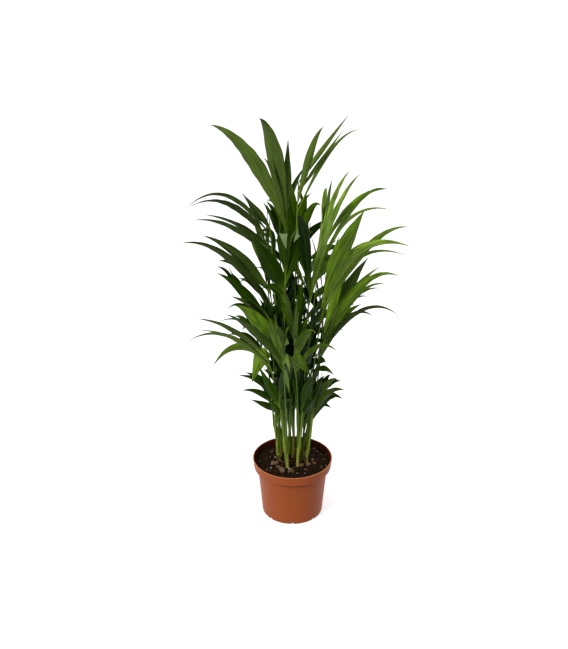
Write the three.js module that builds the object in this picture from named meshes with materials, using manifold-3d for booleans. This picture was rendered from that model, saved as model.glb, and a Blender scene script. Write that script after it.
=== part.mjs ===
// Potted areca palm: a clump of slim seedling stems in a moulded plastic pot, each stem carrying
// fronds on thin stalks, each frond a short feathered rib with long lance-shaped leaflets.
// Millimetres and degrees, +Z up. The origin is the middle of the pot's flat underside. An azimuth
// runs from +X (the right of the plant) towards +Y (its back), and a lean is from the vertical.
import * as THREE from "three";
import { mergeVertices } from "three/addons/utils/BufferGeometryUtils.js";
import Module from "manifold-3d";

const wasm = await Module();
wasm.setup();

// Pot, by its outer sizes
const POT_HEIGHT = 130;
const RIM_RADIUS = 85;
const BAND_HEIGHT = 22;
const BAND_FOOT_RADIUS = 82.5;
const NECK_RADIUS = 74.5;
const BASE_RADIUS = 65;
const BASE_ROUNDING = 3;
const STEP_ROUNDING = 1.5; // where the wall steps out below the band
const RIM_ROUNDING = 0.8;
const WALL = 1.8;
const FLOOR = 2.2;
const DRAIN_HOLES = 8;
const DRAIN_RADIUS = 4.5;
const DRAIN_RING = 46;
const DRAIN_SIDES = 10;
const NOTCH_WIDTH = 7;
const NOTCH_HEIGHT = 4;
const POT_SIDES = 32;

// Soil: level where the stems stand, and a little lower at the wall
const SOIL_LEVEL = 118;
const SOIL_LEVEL_RADIUS = 56;
const SOIL_EDGE_DROP = 3;

// Clearance between solids that meet
const GAP = 0.3;

// Stems: where each one stands on the soil, its height, and its radius above the flared foot
const STEMS = {
  a: { x: -30, y: 2, height: 105, radius: 3 },
  b: { x: -24, y: 20, height: 140, radius: 2.7 },
  c: { x: -11, y: -24, height: 100, radius: 3.2 },
  d: { x: -5, y: 31, height: 165, radius: 2.7 },
  e: { x: 2, y: 13, height: 180, radius: 3 },
  f: { x: 10, y: 29, height: 150, radius: 2.7 },
  g: { x: 11, y: -18, height: 105, radius: 2.8 },
  h: { x: 21, y: 10, height: 130, radius: 2.8 },
  i: { x: 29, y: -4, height: 95, radius: 3.6 },
  j: { x: 33, y: 32, height: 130, radius: 2.8 },
  k: { x: -13, y: 6, height: 165, radius: 2.7 },
  l: { x: 11, y: -2, height: 155, radius: 2.5 },
  m: { x: -18, y: 38, height: 150, radius: 2.5 },
  n: { x: 16, y: 44, height: 140, radius: 2.5 },
};
const STEM_SIDES = 8;
const STEM_LEAN = 1; // of a stem in the middle of the clump
const STEM_SPLAY = 12; // further out it leans one degree more for each of these millimetres
// The profile of every stem: height in shares of the stem's, and radius in shares of the stem's
const STEM_PROFILE = [
  [0, 1.15],
  [0.05, 1.05],
  [0.2, 1],
  [0.6, 0.86],
  [1, 0.72],
];

// Fronds. drop: how far below the stem's tip its foot stands beside the stem (0: on the tip).
// azimuth, lean, bend: the way the rib leans, its mean lean, and how much it bends over its length.
// length, rachis: of the whole rib, and of the upper part that bears leaflets. face: the azimuth that
// the blade's upper side is turned to. droop: sag of a leaflet's tip, in shares of its length. twist:
// turn of each leaflet about its own line. fan: angle to the rib, length and width of each leaflet,
// from the lowest up, and its own droop. spread: number and length of leaflets, and the angle of the
// lowest, for a fan that is dealt by rule.
const FRONDS = [
  { name: "frond_top_left", stem: "d", drop: 0, azimuth: 255, lean: 4.5, bend: 4, length: 405,
    rachis: 85, face: 255, droop: 0.28, twist: 0, tone: "dark",
    fan: [[25, 125, 10, 0.62], [-5, 315, 9, 0.4], [-23, 385, 25, 0.41], [-4, 385, 26, 0.41],
      [2, 140, 14, 0]] },
  { name: "frond_top_right", stem: "e", drop: 0, azimuth: 35, lean: 1, bend: 3, length: 435,
    rachis: 60, face: 245, droop: 0.12, twist: 20, tone: "mid",
    fan: [[18, 330, 6, 0.42], [12, 265, 12, 0.35], [31, 160, 6, 0], [34, 185, 8, 0]] },
  { name: "frond_upper_left", stem: "a", drop: 0, azimuth: 235, lean: 2, bend: 12, length: 430,
    rachis: 80, face: 300, droop: 0.32, twist: 30, tone: "dark",
    fan: [[-12, 170, 9, 0.62], [-35, 290, 10, 0.31], [-36, 205, 9, 0.27], [-28, 345, 11, 0.45],
      [-24, 325, 8, 0.6], [-30, 115, 12, 0]] },
  { name: "frond_middle_left", stem: "b", drop: 0, azimuth: 210, lean: 4.5, bend: 14,
    length: 255, rachis: 80, face: 255, droop: 0.34, twist: 0, tone: "dark",
    fan: [[-13, 250, 10, 0.61], [-19, 385, 15, 0.45], [-6, 235, 14, 0.47],
      [-22, 235, 18, 0.29]] },
  { name: "frond_inner_left", stem: "a", drop: 30, azimuth: 250, lean: 4, bend: 6, length: 265,
    rachis: 60, face: 290, droop: 0.3, twist: 0, tone: "mid",
    fan: [[-16, 280, 9, 0.59], [-16, 235, 8, 0.43], [-23, 240, 18, 0.3], [-34, 150, 11, 0.2]] },
  { name: "frond_front_left", stem: "c", drop: 0, azimuth: 255, lean: 10.5, bend: 16,
    length: 190, rachis: 45, face: 275, droop: 0.16, twist: 0, tone: "lit",
    fan: [[-17, 340, 8, 0.51], [-19, 275, 15, 0.24], [-15, 260, 25, 0.35], [-5, 135, 28, 0.08]] },
  { name: "frond_lower_left", stem: "c", drop: 34, azimuth: 190, lean: 10.5, bend: 14,
    length: 225, rachis: 60, face: 250, droop: 0.34, twist: 0, tone: "bright",
    fan: [[-27, 295, 9, 0.62], [-25, 220, 9, 0.37], [-50, 140, 16, 0.62], [-27, 200, 11, 0.3],
      [-140, 85, 28, 0.2]] },
  { name: "frond_low_left", stem: "a", drop: 62, azimuth: 50, lean: 2.5, bend: 4, length: 110,
    rachis: 34, face: 260, droop: 0.2, twist: 0, tone: "dark",
    fan: [[-75, 70, 10, 0], [-38, 125, 10, 0.44], [-48, 140, 12, 0.39], [-39, 145, 10, 0.4],
      [-35, 80, 12, 0]] },
  { name: "frond_centre", stem: "k", drop: 0, azimuth: 275, lean: 8, bend: 4, length: 285,
    rachis: 60, face: 265, droop: 0.06, twist: 0, tone: "dark",
    fan: [[-29, 100, 14, 0.62], [-24, 155, 30, 0.05], [15, 135, 22, 0], [-3, 115, 20, 0]] },
  { name: "frond_upper_right", stem: "l", drop: 0, azimuth: 325, lean: 5.5, bend: 6,
    length: 285, rachis: 70, face: 285, droop: 0.22, twist: 15, tone: "bright",
    fan: [[6, 370, 14, 0.37], [-12, 385, 9, 0.44], [9, 385, 12, 0.38], [1, 385, 12, 0.35]] },
  { name: "frond_outer_right", stem: "h", drop: 0, azimuth: 35, lean: 6, bend: 8, length: 360,
    rachis: 80, face: 285, droop: 0.28, twist: 20, tone: "lit",
    fan: [[27, 300, 8, 0.42], [12, 385, 11, 0.49], [45, 60, 12, 0.62], [16, 290, 12, 0.46],
      [-5, 260, 8, 0.62]] },
  { name: "frond_middle_right", stem: "i", drop: 0, azimuth: 315, lean: 7.5, bend: 10,
    length: 305, rachis: 85, face: 275, droop: 0.34, twist: 0, tone: "bright",
    fan: [[20, 385, 9, 0.45], [17, 385, 20, 0.37], [17, 385, 14, 0.44], [4, 285, 28, 0.21]] },
  { name: "frond_lower_right", stem: "i", drop: 30, azimuth: 10, lean: 6.5, bend: 3,
    length: 265, rachis: 60, face: 275, droop: 0.3, twist: 0, tone: "lit",
    fan: [[17, 330, 8, 0.52], [14, 385, 13, 0.52], [8, 155, 15, 0], [22, 205, 10, 0.22]] },
  { name: "frond_arching_right", stem: "j", drop: 0, azimuth: 10, lean: 10.5, bend: 18,
    length: 140, rachis: 60, face: 290, droop: 0.38, twist: 0, tone: "dark",
    fan: [[14, 315, 11, 0.62], [11, 375, 9, 0.62], [6, 300, 28, 0.27], [0, 280, 7, 0.5],
      [10, 270, 7, 0.51]] },
  { name: "frond_low_right", stem: "i", drop: 52, azimuth: 305, lean: 9, bend: 3, length: 105,
    rachis: 36, face: 275, droop: 0.22, twist: 0, tone: "dark",
    fan: [[17, 130, 9, 0.49], [13, 195, 11, 0.47], [11, 175, 11, 0.49], [2, 105, 11, 0.18]] },
  { name: "frond_front_centre", stem: "g", drop: 0, azimuth: 250, lean: 13, bend: 20,
    length: 180, rachis: 45, face: 270, droop: 0.25, twist: 0, tone: "mid",
    fan: [[28, 225, 10, 0.61], [-20, 70, 12, 0], [19, 210, 18, 0.51], [140, 50, 24, 0.2]] },
  { name: "frond_top_centre", stem: "f", drop: 0, azimuth: 145, lean: 1, bend: 3, length: 365,
    rachis: 60, face: 270, droop: 0.1, twist: 0, tone: "dark",
    fan: [[-13, 250, 16, 0.51], [13, 230, 12, 0.55], [-5, 140, 15, 0.11], [11, 120, 16, 0.35]] },
  { name: "frond_front_inner_left", stem: "c", drop: 62, azimuth: 230, lean: 8, bend: 6,
    length: 130, rachis: 35, face: 262, droop: 0.18, twist: 0, tone: "dark",
    fan: [[-29, 55, 10, 0], [18, 90, 10, 0.41], [-18, 110, 13, 0.01], [11, 235, 13, 0.42]] },
  { name: "frond_front_inner_right", stem: "g", drop: 60, azimuth: 295, lean: 9, bend: 6,
    length: 110, rachis: 35, face: 278, droop: 0.18, twist: 0, tone: "dark",
    fan: [[-14, 140, 10, 0.46], [16, 85, 10, 0.18], [-13, 105, 13, 0.03], [2, 110, 13, 0]] },
  { name: "frond_front_middle", stem: "l", drop: 60, azimuth: 255, lean: 5, bend: 5,
    length: 210, rachis: 50, face: 270, droop: 0.12, twist: 0, tone: "dark",
    fan: [[8, 205, 11, 0.56], [-8, 180, 14, 0.24], [5, 185, 14, 0.27]] },
  { name: "frond_side_left_upper", stem: "k", drop: 30, azimuth: 150, lean: 6, bend: 8,
    length: 370, rachis: 80, face: 10, droop: 0.26, twist: 20, tone: "dark", spread: [7, 165] },
  { name: "frond_side_right_upper", stem: "e", drop: 34, azimuth: 358, lean: 8, bend: 8,
    length: 370, rachis: 80, face: 175, droop: 0.26, twist: 20, tone: "lit", spread: [7, 165] },
  { name: "frond_side_left", stem: "k", drop: 72, azimuth: 240, lean: 9, bend: 14, length: 230,
    rachis: 70, face: 0, droop: 0.28, twist: 20, tone: "mid", spread: [7, 150] },
  { name: "frond_side_right", stem: "g", drop: 24, azimuth: 345, lean: 13, bend: 14,
    length: 230, rachis: 70, face: 185, droop: 0.28, twist: 20, tone: "mid", spread: [7, 150] },
  { name: "frond_back_top_left", stem: "m", drop: 0, azimuth: 100, lean: 4, bend: 6,
    length: 385, rachis: 80, face: 300, droop: 0.16, twist: 20, tone: "dark", spread: [7, 160] },
  { name: "frond_back_top_right", stem: "n", drop: 0, azimuth: 65, lean: 5, bend: 8,
    length: 375, rachis: 80, face: 230, droop: 0.16, twist: 20, tone: "mid", spread: [6, 150] },
  { name: "frond_back_top_outer", stem: "b", drop: 20, azimuth: 145, lean: 4, bend: 4,
    length: 400, rachis: 80, face: 340, droop: 0.16, twist: 20, tone: "dark", spread: [6, 150] },
  { name: "frond_back_right_upper", stem: "h", drop: 30, azimuth: 40, lean: 9, bend: 8,
    length: 320, rachis: 80, face: 200, droop: 0.24, twist: 20, tone: "mid", spread: [7, 175] },
  { name: "frond_back_right_middle", stem: "n", drop: 30, azimuth: 85, lean: 12, bend: 14,
    length: 300, rachis: 80, face: 255, droop: 0.26, twist: 20, tone: "lit", spread: [7, 170] },
  { name: "frond_back_middle", stem: "d", drop: 30, azimuth: 95, lean: 9, bend: 12, length: 350,
    rachis: 80, face: 265, droop: 0.26, twist: 20, tone: "dark", spread: [7, 175] },
  { name: "frond_back_left_upper", stem: "m", drop: 30, azimuth: 130, lean: 11, bend: 12,
    length: 290, rachis: 80, face: 310, droop: 0.26, twist: 20, tone: "mid", spread: [7, 170] },
  { name: "frond_back_left_outer", stem: "b", drop: 48, azimuth: 180, lean: 13, bend: 12,
    length: 290, rachis: 75, face: 0, droop: 0.26, twist: 20, tone: "dark", spread: [7, 160] },
  { name: "frond_back_right_outer", stem: "j", drop: 30, azimuth: 40, lean: 11, bend: 14,
    length: 270, rachis: 75, face: 215, droop: 0.28, twist: 20, tone: "lit", spread: [7, 165] },
  { name: "frond_back_lower", stem: "d", drop: 62, azimuth: 55, lean: 14, bend: 18, length: 220,
    rachis: 70, face: 270, droop: 0.3, twist: 20, tone: "mid", spread: [7, 160] },
  { name: "frond_back_lower_right", stem: "n", drop: 64, azimuth: 25, lean: 15, bend: 20,
    length: 200, rachis: 65, face: 240, droop: 0.32, twist: 20, tone: "lit", spread: [6, 150] },
  { name: "frond_back_lower_left", stem: "m", drop: 64, azimuth: 175, lean: 16, bend: 20,
    length: 200, rachis: 65, face: 330, droop: 0.32, twist: 20, tone: "mid", spread: [6, 150] },
  { name: "frond_back_low", stem: "f", drop: 80, azimuth: 95, lean: 16, bend: 16, length: 130,
    rachis: 45, face: 255, droop: 0.28, twist: 20, tone: "dark", spread: [6, 100] },
  { name: "frond_side_low_right", stem: "h", drop: 70, azimuth: 15, lean: 17, bend: 16,
    length: 110, rachis: 40, face: 200, droop: 0.26, twist: 20, tone: "dark", spread: [6, 90] },
  { name: "frond_side_low_left", stem: "b", drop: 84, azimuth: 175, lean: 16, bend: 16,
    length: 110, rachis: 40, face: 350, droop: 0.26, twist: 20, tone: "dark", spread: [5, 90] },
  { name: "frond_front_side_left", stem: "c", drop: 36, azimuth: 266, lean: 18, bend: 14,
    length: 280, rachis: 80, face: 0, droop: 0.26, twist: 20, tone: "mid", spread: [7, 150] },
  { name: "frond_front_side_right", stem: "g", drop: 25, azimuth: 262, lean: 16, bend: 12,
    length: 300, rachis: 80, face: 180, droop: 0.26, twist: 20, tone: "mid", spread: [7, 150] },
  { name: "frond_inner_middle", stem: "c", drop: 40, azimuth: 0, lean: 3, bend: 8, length: 130,
    rachis: 45, face: 270, droop: 0.2, twist: 15, tone: "dark", spread: [7, 100, 24] },
  { name: "frond_inner_back", stem: "d", drop: 100, azimuth: 110, lean: 12, bend: 8,
    length: 200, rachis: 45, face: 270, droop: 0.2, twist: 15, tone: "dark",
    spread: [7, 140, 24] },
  { name: "frond_inner_right", stem: "l", drop: 80, azimuth: 25, lean: 12, bend: 12, length: 60,
    rachis: 45, face: 270, droop: 0.24, twist: 15, tone: "dark", spread: [7, 140, 24] },
];

// Ribs
const RIB_FOOT_RADIUS = 1.9;
const RIB_END_RADIUS = 0.9;
const RIB_SIDES = 5;
const RIB_STEPS = 5;

// Fans dealt by rule
const FAN_WIDEST = 46; // angle of the lowest leaflet, where the row gives none
const FAN_CLOSING = 0.65; // share of that angle by which the fan closes towards its end
const FAN_STRAY = 12;
const FAN_LENGTH_STRAY = 0.3;
const FAN_BELLY = 0.8; // how far its middle leaflets outgrow its ends, which are as short as this share
const FAN_WIDTH_SHARE = 0.085;
const FAN_WIDTH_ADDED = 2;
const FAN_SEED = 7;

// Leaflets
const LEAF_THICKNESS = 0.011; // at the middle rib, in shares of the leaflet's length
const LEAF_ROOT_WIDTH = 0.15; // in shares of the greatest width
const LEAF_WIDEST_AT = 0.4; // in shares of the length
const LEAF_TAPER = 1.4; // power of the taper from there to the tip
const LEAF_SUNK = 3; // how far the root reaches back into the rib
const LEAF_LIFT = 6; // degrees by which leaflets stand out of the blade's plane, to either side in turn
const LEAF_SHARES = [0.13, 0.37, 0.62, 0.84]; // where its sections stand; both ends are points

// Room between fronds: a leaflet that would come nearer to another frond is turned a little at its
// root, and left out where no turn helps
const CLEAR = 4.5;
const SAMPLE_STEP = 4;
const SAMPLE_SECTIONS = 10;
const TURNS = [0, 4, -4, 8, -8, 12, -12, 17, -17];

const COLOURS = {
  pot: 0xa5552f,
  soil: 0x1e130a,
  stem: 0x87a446,
  dark: 0x223f12,
  mid: 0x3a5a1c,
  lit: 0x4a7619,
  bright: 0x5c8f2c,
};

const radians = THREE.MathUtils.degToRad;
const UP = new THREE.Vector3(0, 0, 1);

// Unit vector of a lean towards an azimuth, both in radians
function direction(azimuth, lean) {
  const out = Math.sin(lean);
  return new THREE.Vector3(out * Math.cos(azimuth), out * Math.sin(azimuth), Math.cos(lean));
}

// A manifold solid of a closed geometry
function solidOf(geometry) {
  geometry.deleteAttribute("normal");
  geometry.deleteAttribute("uv");
  const merged = mergeVertices(geometry, 1e-4);
  return new wasm.Manifold(
    new wasm.Mesh({
      numProp: 3,
      vertProperties: merged.attributes.position.array,
      triVerts: new Uint32Array(merged.index.array),
    }),
  );
}

// A named mesh of a manifold solid
function meshOf(name, solid, colour, roughness) {
  const { vertProperties, triVerts } = solid.getMesh();
  const geometry = new THREE.BufferGeometry();
  geometry.setAttribute("position", new THREE.BufferAttribute(vertProperties, 3));
  geometry.setIndex(new THREE.BufferAttribute(triVerts, 1));
  geometry.computeVertexNormals();
  const material = new THREE.MeshStandardMaterial({ color: colour, roughness, metalness: 0 });
  const mesh = new THREE.Mesh(geometry, material);
  mesh.name = name;
  return mesh;
}

// A closed body through rings of equally many points, each anticlockwise seen from the far end. The
// ends are flat, or run out to the points that are given.
function loft(rings, ends) {
  const sides = rings[0].length;
  const points = rings.flat();
  const last = points.length - sides;
  const faces = [];
  for (let r = 0; r + 1 < rings.length; r++) {
    for (let s = 0; s < sides; s++) {
      const a = r * sides + s;
      const b = r * sides + ((s + 1) % sides);
      faces.push(a, b, b + sides, a, b + sides, a + sides);
    }
  }
  if (ends) {
    for (let s = 0; s < sides; s++) {
      const next = (s + 1) % sides;
      faces.push(next, s, points.length, last + s, last + next, points.length + 1);
    }
    points.push(...ends);
  } else {
    for (let s = 1; s + 1 < sides; s++) {
      faces.push(0, s + 1, s, last, last + s, last + s + 1);
    }
  }
  const geometry = new THREE.BufferGeometry().setFromPoints(points);
  geometry.setIndex(faces);
  return solidOf(geometry);
}

// A round ring across an axis, given by two directions square to it
function ring(centre, across, along, radius, sides) {
  return Array.from({ length: sides }, (_, s) => {
    const angle = (2 * Math.PI * s) / sides;
    return centre
      .clone()
      .addScaledVector(across, radius * Math.cos(angle))
      .addScaledVector(along, radius * Math.sin(angle));
  });
}

// Turned body about +Z from a profile of [radius, height]
function turned(profile, segments) {
  const points = profile.map(([radius, height]) => new THREE.Vector2(radius, height));
  const geometry = new THREE.LatheGeometry(points, segments);
  geometry.rotateX(Math.PI / 2);
  return solidOf(geometry);
}

// Pot: a thin moulded wall that steps out into the rim band, with drain holes in the flat floor and
// small notches through its rounded edge
function pot() {
  const neck = POT_HEIGHT - BAND_HEIGHT;
  const body = turned(
    [
      [0, 0],
      [BASE_RADIUS - BASE_ROUNDING, 0],
      [BASE_RADIUS - 0.3 * BASE_ROUNDING, 0.3 * BASE_ROUNDING],
      [BASE_RADIUS, BASE_ROUNDING],
      [NECK_RADIUS, neck - STEP_ROUNDING],
      [BAND_FOOT_RADIUS - STEP_ROUNDING, neck],
      [BAND_FOOT_RADIUS, neck + STEP_ROUNDING],
      [RIM_RADIUS, POT_HEIGHT - RIM_ROUNDING],
      [RIM_RADIUS - RIM_ROUNDING, POT_HEIGHT],
      [RIM_RADIUS - WALL, POT_HEIGHT],
      [BAND_FOOT_RADIUS - WALL, neck + STEP_ROUNDING + WALL],
      [NECK_RADIUS - WALL, neck - STEP_ROUNDING + WALL],
      [BASE_RADIUS - WALL, FLOOR + BASE_ROUNDING],
      [BASE_RADIUS - WALL - BASE_ROUNDING, FLOOR],
      [0, FLOOR],
    ],
    POT_SIDES,
  );
  const cuts = [];
  for (let k = 0; k < DRAIN_HOLES; k++) {
    const angle = (2 * Math.PI * (k + 0.5)) / DRAIN_HOLES;
    const hole = new THREE.CylinderGeometry(DRAIN_RADIUS, DRAIN_RADIUS, 4 * FLOOR, DRAIN_SIDES);
    hole.rotateX(Math.PI / 2);
    hole.translate(DRAIN_RING * Math.cos(angle), DRAIN_RING * Math.sin(angle), 0);
    cuts.push(solidOf(hole));
    const notch = new THREE.BoxGeometry(4 * BASE_ROUNDING, NOTCH_WIDTH, 2 * NOTCH_HEIGHT);
    notch.translate(BASE_RADIUS, 0, 0);
    notch.rotateZ((2 * Math.PI * k) / DRAIN_HOLES);
    cuts.push(solidOf(notch));
  }
  return cuts.reduce((whole, cut) => whole.subtract(cut), body);
}

// Soil: fills the pot, clear of its wall
function soil() {
  const neck = POT_HEIGHT - BAND_HEIGHT;
  const inset = WALL + 2 * GAP;
  return turned(
    [
      [0, FLOOR + GAP],
      [BASE_RADIUS - inset - BASE_ROUNDING, FLOOR + GAP],
      [BASE_RADIUS - inset, FLOOR + GAP + BASE_ROUNDING],
      [NECK_RADIUS - inset, neck - STEP_ROUNDING + inset],
      [BAND_FOOT_RADIUS - inset, neck + STEP_ROUNDING + inset],
      [BAND_FOOT_RADIUS - inset, SOIL_LEVEL - SOIL_EDGE_DROP],
      [SOIL_LEVEL_RADIUS, SOIL_LEVEL],
      [0, SOIL_LEVEL],
    ],
    POT_SIDES,
  );
}

// The middle of a stem at a height above the soil
function stemPoint(stem, height) {
  const out = Math.hypot(stem.x, stem.y);
  const shift = (height * Math.tan(radians(STEM_LEAN + out / STEM_SPLAY))) / out;
  return new THREE.Vector3(stem.x * (1 + shift), stem.y * (1 + shift), SOIL_LEVEL + GAP + height);
}

function stemRadius(stem, height) {
  const share = height / stem.height;
  const upper = STEM_PROFILE.findIndex(([at]) => at >= share) || 1;
  const [at0, radius0] = STEM_PROFILE[upper - 1];
  const [at1, radius1] = STEM_PROFILE[upper];
  return stem.radius * THREE.MathUtils.mapLinear(share, at0, at1, radius0, radius1);
}

// Stem: a slim leaning taper with a flared foot, cut flat at the soil and at its tip
function stemSolid(stem) {
  const rings = STEM_PROFILE.map(([at, radius]) => {
    const middle = stemPoint(stem, at * stem.height);
    return ring(middle, new THREE.Vector3(1, 0, 0), new THREE.Vector3(0, 1, 0),
      radius * stem.radius, STEM_SIDES);
  });
  return loft(rings);
}

// Where the rib of a frond starts: just above the stem's tip, or just clear of its side
function ribFoot(frond) {
  const stem = STEMS[frond.stem];
  const foot = stemPoint(stem, stem.height - frond.drop);
  if (frond.drop === 0) {
    const tilt = Math.abs(radians(frond.lean - frond.bend / 2));
    foot.z += GAP + RIB_FOOT_RADIUS * Math.sin(tilt);
    return foot;
  }
  const reach = stemRadius(stem, stem.height - frond.drop) + RIB_FOOT_RADIUS + GAP;
  return foot.addScaledVector(direction(radians(frond.azimuth), Math.PI / 2), reach);
}

// Point and direction of a rib at a share of its length: an arc in the plane of its azimuth
function onRib(frond, share) {
  const azimuth = radians(frond.azimuth);
  const bend = radians(frond.bend);
  const start = radians(frond.lean) - bend / 2;
  const lean = start + bend * share;
  const radius = frond.length / bend;
  const out = radius * (Math.cos(start) - Math.cos(lean));
  const point = ribFoot(frond).addScaledVector(direction(azimuth, Math.PI / 2), out);
  point.z += radius * (Math.sin(lean) - Math.sin(start));
  return { point, along: direction(azimuth, lean) };
}

function ribRadius(share) {
  return THREE.MathUtils.lerp(RIB_FOOT_RADIUS, RIB_END_RADIUS, share);
}

function ribSolid(frond) {
  const side = direction(radians(frond.azimuth) + Math.PI / 2, Math.PI / 2);
  const rings = [];
  for (let k = 0; k <= RIB_STEPS; k++) {
    const { point, along } = onRib(frond, k / RIB_STEPS);
    const across = new THREE.Vector3().crossVectors(side, along);
    rings.push(ring(point, across, side, ribRadius(k / RIB_STEPS), RIB_SIDES));
  }
  return loft(rings);
}

// Seeded numbers from 0 to 1
let seed = FAN_SEED;
function number() {
  seed = (seed * 16807) % 2147483647;
  return seed / 2147483647;
}

// A fan dealt by rule: leaflets on alternate sides, closing towards the last, which ends the rib
function dealtFan([count, length, widest = FAN_WIDEST]) {
  return Array.from({ length: count }, (_, k) => {
    const share = k / (count - 1);
    const side = k % 2 ? -1 : 1;
    const angle = k < count - 1 ? side * widest * (1 - FAN_CLOSING * share) : 0;
    const belly = FAN_BELLY * (1 + share * (1 - share));
    const long = length * belly * (1 + FAN_LENGTH_STRAY * (number() - 0.5));
    const stray = FAN_STRAY * (number() - 0.5);
    return [angle + stray, long, long * FAN_WIDTH_SHARE + FAN_WIDTH_ADDED];
  });
}

// Half width of a leaflet at a share of its length, in shares of the greatest
function leafWidth(share) {
  const rise = 1 - Math.min(share / LEAF_WIDEST_AT, 1);
  const fall = Math.max(0, (share - LEAF_WIDEST_AT) / (1 - LEAF_WIDEST_AT));
  return (1 - (1 - LEAF_ROOT_WIDTH) * rise ** 2) * (1 - fall ** LEAF_TAPER);
}

// A leaflet's line: from its root it follows the blade's plane and sags as it goes
function leafLine(frond, index, count, [angle, length, width, droop = frond.droop], turn) {
  const share = 1 - (frond.rachis / frond.length) * (1 - index / (count - 1));
  const { point, along } = onRib(frond, share);
  const face = direction(radians(frond.face), Math.PI / 2);
  const across = new THREE.Vector3().crossVectors(along, face).normalize();
  const upper = new THREE.Vector3().crossVectors(across, along);
  const swing = radians(angle + turn);
  const heading = along
    .clone()
    .multiplyScalar(Math.cos(swing))
    .addScaledVector(across, Math.sin(swing))
    .addScaledVector(upper, Math.sin(radians(index % 2 ? LEAF_LIFT : -LEAF_LIFT)))
    .normalize();
  const twist = radians(angle > 0 ? frond.twist : -frond.twist);
  const top = upper.applyAxisAngle(heading, twist);
  const root = point.clone().addScaledVector(heading, -LEAF_SUNK);
  return { root, heading, top, length, width, droop };
}

// Middle, side and upper direction of a leaflet at a share of its length
function onLeaf(leaf, share) {
  const middle = leaf.root
    .clone()
    .addScaledVector(leaf.heading, leaf.length * share)
    .addScaledVector(UP, -leaf.length * leaf.droop * share ** 2);
  const along = leaf.heading.clone().addScaledVector(UP, -2 * leaf.droop * share).normalize();
  const side = new THREE.Vector3().crossVectors(leaf.top, along).normalize();
  return { middle, side, upper: new THREE.Vector3().crossVectors(along, side) };
}

// Leaflet: a blade that is flat above, with a keel below its middle
function leafSolid(leaf) {
  const rings = LEAF_SHARES.map((share) => {
    const { middle, side, upper } = onLeaf(leaf, share);
    const half = (leaf.width / 2) * leafWidth(share);
    const keel = leaf.length * LEAF_THICKNESS * (1 - share ** 3);
    return [
      middle.clone().addScaledVector(side, half),
      middle.clone().addScaledVector(side, -half),
      middle.clone().addScaledVector(upper, -keel),
    ];
  });
  return loft(rings, [leaf.root, onLeaf(leaf, 1).middle]);
}

// Points over a leaflet's blade, no further apart than the sample step
function leafSamples(leaf, from) {
  const samples = [];
  for (let k = from; k < SAMPLE_SECTIONS; k++) {
    const steps = Math.ceil(leaf.length / SAMPLE_SECTIONS / SAMPLE_STEP);
    for (let j = 0; j < steps; j++) {
      const share = (k + j / steps) / SAMPLE_SECTIONS;
      const { middle, side } = onLeaf(leaf, share);
      const half = (leaf.width / 2) * leafWidth(share);
      const columns = Math.max(1, Math.ceil(half / SAMPLE_STEP));
      for (let c = -columns; c <= columns; c++) {
        samples.push(middle.clone().addScaledVector(side, (half * c) / columns));
      }
    }
  }
  samples.push(onLeaf(leaf, 1).middle);
  return samples;
}

// The points already taken, kept by cells as wide as the clearance
const taken = new Map();
const cellOf = (value) => Math.floor(value / CLEAR);

function take(points, owner) {
  for (const point of points) {
    const key = [point.x, point.y, point.z].map(cellOf).join();
    if (!taken.has(key)) taken.set(key, []);
    taken.get(key).push({ point, owner });
  }
}

// Whether points come nearer than the clearance to what another owner has taken
function crowded(points, owner) {
  return points.some((point) => {
    const [x, y, z] = [point.x, point.y, point.z].map(cellOf);
    for (let k = 0; k < 27; k++) {
      const key = [x - 1 + (k % 3), y - 1 + (Math.floor(k / 3) % 3), z - 1 + Math.floor(k / 9)];
      const near = taken.get(key.join()) ?? [];
      if (near.some((other) => other.owner !== owner && other.point.distanceTo(point) < CLEAR)) {
        return true;
      }
    }
    return false;
  });
}

const palm = new THREE.Group();
palm.add(meshOf("pot", pot(), COLOURS.pot, 0.5));
palm.add(meshOf("soil", soil(), COLOURS.soil, 0.95));

// Every solid of the plant so far, for the exact test of clearance
const solids = [];
function tooClose(solid, owner) {
  return solids.some((other) => other.owner !== owner && solid.minGap(other.solid, GAP) < GAP);
}

for (const [letter, stem] of Object.entries(STEMS)) {
  const solid = stemSolid(stem);
  solids.push({ owner: letter, solid });
  const steps = Math.ceil(stem.height / SAMPLE_STEP);
  take(Array.from({ length: steps }, (_, k) => stemPoint(stem, (stem.height * k) / steps)), letter);
  palm.add(meshOf("stem_" + letter, solid, COLOURS.stem, 0.45));
}

// Every rib takes its place before any leaflet does
for (const frond of FRONDS) {
  frond.rib = ribSolid(frond);
  frond.fan ??= dealtFan(frond.spread);
  const steps = Math.ceil(frond.length / SAMPLE_STEP);
  take(Array.from({ length: steps + 1 }, (_, k) => onRib(frond, k / steps).point), frond.name);
  solids.push({ owner: frond.name, solid: frond.rib });
}

for (const frond of FRONDS) {
  let whole = frond.rib;
  frond.fan.forEach((blade, index) => {
    const leaf = TURNS.map((turn) => leafLine(frond, index, frond.fan.length, blade, turn)).find(
      (line) => !crowded(leafSamples(line, 1), frond.name),
    );
    if (!leaf) return;
    take(leafSamples(leaf, 0), frond.name);
    const solid = leafSolid(leaf);
    if (tooClose(solid, frond.name)) return;
    solids.push({ owner: frond.name, solid });
    whole = whole.add(solid);
  });
  palm.add(meshOf(frond.name, whole, COLOURS[frond.tone], 0.4));
}

export default palm;
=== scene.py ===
# Potted areca palm, dressed for the camera: a clump of slim green stems with feathered fronds in a
# round terracotta-coloured nursery pot filled with peat. +Z up, the origin in the middle of the pot's
# flat underside. Shapes are worked out in millimetres and turned to metres where a mesh is made.
import math
import random
from functools import partial
from itertools import product

import bpy
import numpy as np
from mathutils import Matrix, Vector, noise


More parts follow.
